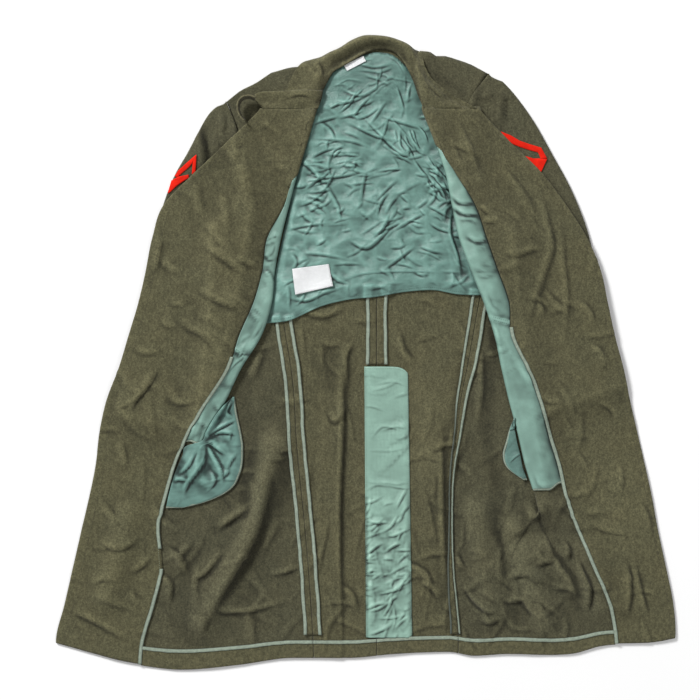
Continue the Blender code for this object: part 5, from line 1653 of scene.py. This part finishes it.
class Nodes:
    """Short calls for a material's node tree."""

    def __init__(self, name, roughness):
        self.material = bpy.data.materials.new(name)
        self.material.use_nodes = True
        self.tree = self.material.node_tree
        self.shader = self.tree.nodes["Principled BSDF"]
        self.shader.inputs["Roughness"].default_value = roughness
        self.place = self.tree.nodes.new("ShaderNodeTexCoord")

    def add(self, kind, links=(), **values):
        node = self.tree.nodes.new(kind)
        for key, value in values.items():
            if key in node.inputs:
                node.inputs[key].default_value = value
            else:
                setattr(node, key, value)
        for key, output in dict(links).items():
            self.tree.links.new(output, node.inputs[key])
        return node

    def noise(self, scale, detail=2.0, stretch=(1, 1, 1), roughness=0.5):
        turned = self.add("ShaderNodeMapping", {"Vector": self.place.outputs["Object"]}, Scale=stretch)
        return self.add("ShaderNodeTexNoise", {"Vector": turned.outputs["Vector"]},
                        Scale=scale, Detail=detail, Roughness=roughness).outputs["Fac"]

    def waves(self, scale, angle):
        turned = self.add("ShaderNodeMapping", {"Vector": self.place.outputs["UV"]},
                          Rotation=(0, 0, math.radians(angle)))
        return self.add("ShaderNodeTexWave", {"Vector": turned.outputs["Vector"]}, Scale=scale).outputs["Fac"]

    def mixed(self, factor, low, high, blend_type="MIX"):
        """Colour between two; the factor and both colours are values or other nodes' outputs."""
        node = self.add("ShaderNodeMix", data_type="RGBA", blend_type=blend_type)
        colours = [(*value, 1.0) if isinstance(value, tuple) else value for value in (low, high)]
        for slot, value in zip(("Factor", 6, 7), (factor, *colours)):
            if isinstance(value, (float, tuple)):
                node.inputs[slot].default_value = value
            else:
                self.tree.links.new(value, node.inputs[slot])
        return node.outputs[2]

    def spread(self, factor, low, high):
        """A factor stretched between two values."""
        limits = {"From Min": low, "From Max": high}
        return self.add("ShaderNodeMapRange", {"Value": factor}, **limits).outputs["Result"]

    def bump(self, height, distance, before=None):
        links = {"Height": height} if before is None else {"Height": height, "Normal": before}
        return self.add("ShaderNodeBump", links, Distance=distance, Strength=1.0).outputs["Normal"]

    def worn(self, colour, crest, crease):
        """The colour with a painted highlight on crests and painted shade in creases and dark places, read
        from the hollow attribute.
        """
        mark = self.add("ShaderNodeAttribute", attribute_name="hollow")
        share = self.spread(mark.outputs["Fac"], -1, 1)
        ramp = self.add("ShaderNodeValToRGB", {"Fac": share})
        low, high = ramp.color_ramp.elements
        low.color = (crest, crest, crest, 1)
        high.color = (crease, crease, crease, 1)
        ramp.color_ramp.elements.new(0.5).color = (1, 1, 1, 1)
        return self.mixed(1.0, colour, ramp.outputs["Color"], "MULTIPLY")

    def finish(self, colour, normal, **values):
        self.tree.links.new(colour, self.shader.inputs["Base Color"])
        self.tree.links.new(normal, self.shader.inputs["Normal"])
        for key, value in values.items():
            self.shader.inputs[key.replace("_", " ")].default_value = value
        return self.material


def scaled(colour, factor):
    return tuple(c * factor for c in colour)


TONE_SHARE = 0.22             # of the broad warm and cool tones in the wool's colour


def wool(name, colour):
    """Milled coating cloth: mottled nap, faint twill, soft sheen."""
    m = Nodes(name, 0.93)
    mottle = m.spread(m.noise(300, 5.0, roughness=0.8), 0.36, 0.64)
    nap = m.spread(m.noise(170, 4.0, stretch=(1, 0.55, 1), roughness=0.7), 0.36, 0.64)
    broad = m.spread(m.noise(16, 3.0), 0.33, 0.67)
    dark = m.mixed(mottle, scaled(colour, 0.40), scaled(colour, 1.15))
    light = m.mixed(mottle, scaled(colour, 0.62), scaled(colour, 1.95))
    fleck = m.mixed(nap, dark, light)
    red, green, blue = colour
    cool, warm = (red * 0.96, green, blue * 1.05), (red * 1.10, green * 1.04, blue * 0.98)
    toned = m.mixed(broad, scaled(cool, 0.9), scaled(warm, 1.12))
    both = m.mixed(TONE_SHARE, fleck, toned)
    twill = m.bump(m.waves(330, 63), 0.00015)
    fuzz = m.bump(m.noise(1500, 3.0), 0.0004, before=twill)
    lumps = m.bump(m.noise(300, 4.0, roughness=0.7), 0.0012, before=fuzz)
    # Painted highlight on crests and painted shade in creases and dark places
    colour_out = m.worn(both, 1.35, 0.4)
    return m.finish(colour_out, lumps, Sheen_Weight=0.1, Sheen_Roughness=0.5, Specular_IOR_Level=0.2)


def satin(name, colour, crinkled):
    """Satin: soft gloss, fine weave and small creases."""
    m = Nodes(name, 0.42)
    broad = m.spread(m.noise(14, 2.0), 0.33, 0.67)
    mottle = m.spread(m.noise(120, 4.0, roughness=0.6), 0.33, 0.67)
    tone = m.mixed(mottle, scaled(colour, 0.9), scaled(colour, 1.08))
    # Painted highlight on crests and painted shade in creases and dark places
    colour_out = m.worn(m.mixed(broad, scaled(colour, 0.86), tone), 1.35, 0.15)
    weave = m.bump(m.waves(900, 90), 0.00005)
    grain = m.bump(m.noise(300, 4.0, roughness=0.6), 0.0003, before=weave)
    wide = m.bump(m.noise(60, 4.0, stretch=(0.6, 1.2, 1), roughness=0.5), 0.0014 * crinkled, before=grain)
    return m.finish(colour_out, wide, Sheen_Weight=0.1, Sheen_Roughness=0.3, Specular_IOR_Level=0.4)


def ribbed(name, colour, pitch, roughness, unevenness):
    """Ribbed tape or ribbon."""
    m = Nodes(name, roughness)
    # Random uneven tone along the tape
    worn = m.spread(m.noise(210, 4.0), 0.35, 0.65)
    tone = m.mixed(worn, scaled(colour, 1 - unevenness), scaled(colour, 1 + 0.6 * unevenness))
    ribs = m.bump(m.waves(0.314 / pitch, 90), 0.00025)
    creases = m.bump(m.noise(160, 3.0), 0.0003, before=ribs)
    # Painted highlight on crests and painted shade in creases and at the darker edges
    return m.finish(m.worn(tone, 1.05, 0.25), creases, Sheen_Weight=0.1, Specular_IOR_Level=0.35)


def felt(name, colour):
    m = Nodes(name, 0.95)
    fibre = m.spread(m.noise(900, 3.0), 0.3, 0.7)
    patch = m.spread(m.noise(80, 2.0), 0.3, 0.7)
    low = m.mixed(fibre, scaled(colour, 0.7), scaled(colour, 1.1))
    tone = m.mixed(patch, low, scaled(colour, 1.15))
    fuzz = m.bump(m.noise(1200, 3.0), 0.0004)
    return m.finish(tone, fuzz, Sheen_Weight=0.02, Specular_IOR_Level=0.1)


OUTER_WOOL = wool("olive wool outside", (0.075, 0.072, 0.041))
INNER_WOOL = wool("olive wool inside", (0.091, 0.086, 0.046))
FACING_WOOL = wool("olive wool facing", (0.094, 0.089, 0.047))
COLLAR_WOOL = wool("olive wool collar", (0.085, 0.078, 0.043))
SATIN_CLOTH = satin("green satin", (0.140, 0.268, 0.230), 1.0)
# The same satin as the lining, painted lighter for the sheen of its flat, less creased stretches
SATIN_PAINTED_SHEEN = satin("green satin, smooth", (0.185, 0.315, 0.262), 0.35)
STAY_SATIN_PAINTED_SHEEN = satin("green satin of the stay", (0.245, 0.400, 0.325), 0.35)
BINDING_CLOTH = ribbed("pale green tape", (0.31, 0.375, 0.295), 0.0008, 0.65, 0.16)
LABEL_CLOTH = ribbed("white label ribbon", (0.93, 0.945, 0.95), 0.0005, 0.6, 0.03)
DARK_THREAD = ribbed("olive thread", (0.055, 0.050, 0.028), 0.0004, 0.7, 0.2)
GREEN_THREAD = ribbed("green thread", (0.21, 0.27, 0.21), 0.0004, 0.6, 0.2)
DEEP_THREAD = ribbed("deep green thread", (0.055, 0.11, 0.09), 0.0004, 0.6, 0.2)
WHITE_THREAD = ribbed("white thread", (0.80, 0.81, 0.80), 0.0004, 0.6, 0.1)
CHEVRON_CLOTH = felt("red felt", (0.66, 0.016, 0.006))


def build():
    """Lay the coat's pieces in the order in which they rest on each other."""
    heap = Heap()
    collar, rests, lift = collar_sections()
    lay_collar_under(collar, heap)
    backs = (Back("right", FRONT_RIGHT, BACK_ARMHOLE_RIGHT, NECK_RIGHT),
             Back("left", FRONT_LEFT, BACK_ARMHOLE_LEFT, NECK_LEFT))
    for back in backs:
        back.lay(heap)
    for back in backs:
        heap.cover(back.grid, whole(back.grid), WOOL)
    fronts = (Front("right", FRONT_RIGHT, ARMHOLE_RIGHT, SHOULDER_RIGHT, SLEEVE_RIGHT, OPENING_RIGHT),
              Front("left", FRONT_LEFT, ARMHOLE_LEFT, SHOULDER_LEFT, SLEEVE_LEFT, OPENING_LEFT))
    for front in fronts:
        front.lay_floor(heap)
    lay_seam("centre", lambda y: CENTRE_X, heap)
    lay_seam("side_right", fronts[0].at["seam"], heap)
    lay_seam("side_left", fronts[1].at["seam"], heap)
    lay_stay(heap)
    lay_lining(heap)
    lay_label("care_label", CARE_LABEL, 1.5, heap)
    lay_label("neck_label", NECK_LABEL, 0.0, heap)
    for front in fronts:
        front.lay_middle(heap)
        lay_sleeve(front, heap)
    lay_chevron("chevron_right", CHEVRON_RIGHT, heap)
    lay_chevron("chevron_left", CHEVRON_LEFT, heap)
    lay_collar(collar, rests, lift, heap)
    for front in fronts:
        front.lay_top(heap)
    sew_collar(collar, fronts)
    make_collar_tip()
    for back in backs:
        back.make()
    for front in fronts:
        front.make()
    lay_pocket("right", POCKET_RIGHT, heap)
    lay_pocket("left", POCKET_LEFT, heap)


build()

STITCH_COLUMNS = ("length", "gap", "width", "material")
STITCHES = {
    "front": (3.4, 1.6, 0.9, DARK_THREAD),
    "tape": (2.6, 1.4, 0.6, GREEN_THREAD),
    "satin": (2.6, 1.2, 0.8, DEEP_THREAD),
    "stay": (2.6, 1.4, 0.7, GREEN_THREAD),
    "label": (2.2, 1.0, 0.5, WHITE_THREAD),
}
for kind, row in STITCHES.items():
    stitches("stitches_" + kind, STITCH_LINES[kind], **dict(zip(STITCH_COLUMNS, row)))

# Cut sizes of what shows: width, length and share of that rectangle that is filled, of the right piece and of
# the left one, and what they lie on; {} stands for the side
SHEETS = (
    ("back_{}", (240, 1110, 0.72), (240, 1130, 0.68), ()),
    ("front_{}", (480, 1150, 0.77), (460, 1170, 0.66), ("back_{}", "sleeve_{}")),
    ("facing_{}", (230, 1040, 0.76), (220, 1040, 0.69), ("front_{}",)),
    ("sleeve_{}", (360, 545, 0.90), (440, 555, 0.89), ("front_{}",)),
    ("collar", (95, 440, 0.80), None, ("front_right", "front_left")),
    ("collar_tip", (72, 15, 1.0), None, ("collar",)),
    ("lining_back", (410, 455, 0.70), None, ("back_right", "back_left")),
    ("lining_front_{}", (60, 550, 0.86), (70, 680, 0.90), ("front_{}",)),
    ("vent_stay", (85, 505, 1.0), None, ("back_right", "back_left")),
    ("pocket_{}", (90, 265, 0.76), (24, 130, 0.76), ("front_{}",)),
    ("care_label", (70, 43, 1.0), None, ("lining_back",)),
    ("neck_label", (40, 12, 1.0), None, ("lining_back",)),
    ("chevron_{}", (11, 150, 0.72), (13, 152, 1.0), ("sleeve_{}",)),
    ("hem_front_{}", (34, 320, 1.0), (29, 292, 1.0), ("front_{}",)),
    ("hem_back_{}", (30, 118, 1.0), (29, 150, 1.0), ("back_{}",)),
    ("allowance_centre_{}", (18, 145, 1.0), (18, 145, 1.0), ("back_{}",)),
    ("allowance_side_right_right", (15, 590, 1.0), None, ("front_right",)),
    ("allowance_side_right_left", (15, 590, 1.0), None, ("back_right",)),
    ("allowance_side_left_right", (15, 640, 0.50), None, ("back_left",)),
    ("allowance_side_left_left", (15, 640, 0.47), None, ("front_left",)),
    ("binding_centre_{}", (11, 145, 0.63), (11, 145, 0.63), ("allowance_centre_{}",)),
    ("binding_side_right_{}", (11, 590, 0.62), (11, 590, 0.62), ("allowance_side_right_{}",)),
    ("binding_side_left_{}", (11, 640, 0.36), (11, 640, 0.43), ("allowance_side_left_{}",)),
    ("facing_binding_{}", (11, 610, 0.58), (11, 625, 0.61), ("facing_{}",)),
    ("hem_binding_front_{}", (11, 320, 0.65), (11, 292, 0.65), ("hem_front_{}",)),
    ("hem_binding_back_{}", (11, 118, 0.62), (11, 150, 0.65), ("hem_back_{}",)),
    ("strip_rim_{}", (11, 33, 0.45), (11, 60, 0.45), ("lining_front_{}",)),
    ("pocket_{}_rim", (11, 305, 0.42), (11, 147, 0.45), ("pocket_{}",)),
)
SEWN_ON = ("binding", "hem", "rim", "chevron", "label", "allowance")
CUTS = {}
for pattern, *sizes, places in SHEETS:
    for side, size in zip(("right", "left"), sizes):
        if size:
            CUTS[pattern.format(side)] = (size, [place.format(side) for place in places])
for name, ((width, length, filled), places) in CUTS.items():
    carried = [PIECES[other] for other, (_, under) in CUTS.items()
               if name in under and any(word in other for word in SEWN_ON)]
    width, length = width * MM, length * MM
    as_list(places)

# Floor, light and camera
FLOOR_HALF = 6.0
WORLD_STRENGTH = 0.42
LENS = 85.0
SENSOR = 36.0
CAMERA_PLACE = (-0.02903, 0.00366, 3.073)
LAMP_COLUMNS = ("name", "place", "size", "power")
LAMPS = (
    ("key", (-4.75, 5.25, 4.4), 2.0, 860),
    ("fill", (2.6, -1.6, 3.4), 2.4, 34),
)

floor_mesh = bpy.data.meshes.new("floor")
corners = [(x * FLOOR_HALF, y * FLOOR_HALF, 0) for x, y in ((-1, -1), (1, -1), (1, 1), (-1, 1))]
floor_mesh.from_pydata(corners, [], [(0, 1, 2, 3)])
floor = placed("floor", floor_mesh)
paper = Nodes("white floor", 0.9)
speck = paper.mixed(paper.noise(3, 2.0), (0.90, 0.90, 0.90), (0.93, 0.93, 0.93))
paper.finish(speck, paper.bump(paper.noise(400, 2.0), 0.0001), Specular_IOR_Level=0.1)
floor_mesh.materials.append(paper.material)


def lamp(name, place, size, power):
    """A square area light that points at the coat's middle."""
    data = bpy.data.lights.new(name, "AREA")
    data.shape = "SQUARE"
    data.size = size
    data.energy = power
    thing = placed(name, data)
    x, y, z = place
    thing.location = place
    thing.rotation_euler = (math.atan2(math.hypot(x, y), z), 0, math.atan2(y, x) + math.pi / 2)


for row in LAMPS:
    lamp(**dict(zip(LAMP_COLUMNS, row)))

world = bpy.data.worlds.new("studio")
bpy.context.scene.world = world
world.use_nodes = True
sky = world.node_tree.nodes["Background"].inputs
sky["Color"].default_value = (1, 1, 1, 1)
sky["Strength"].default_value = WORLD_STRENGTH
bpy.context.scene.view_settings.view_transform = "Standard"

camera_data = bpy.data.cameras.new("camera")
camera_data.lens = LENS
camera_data.sensor_width = SENSOR
camera_data.clip_end = 50
camera = placed("camera", camera_data)
camera.location = CAMERA_PLACE
bpy.context.scene.camera = camera
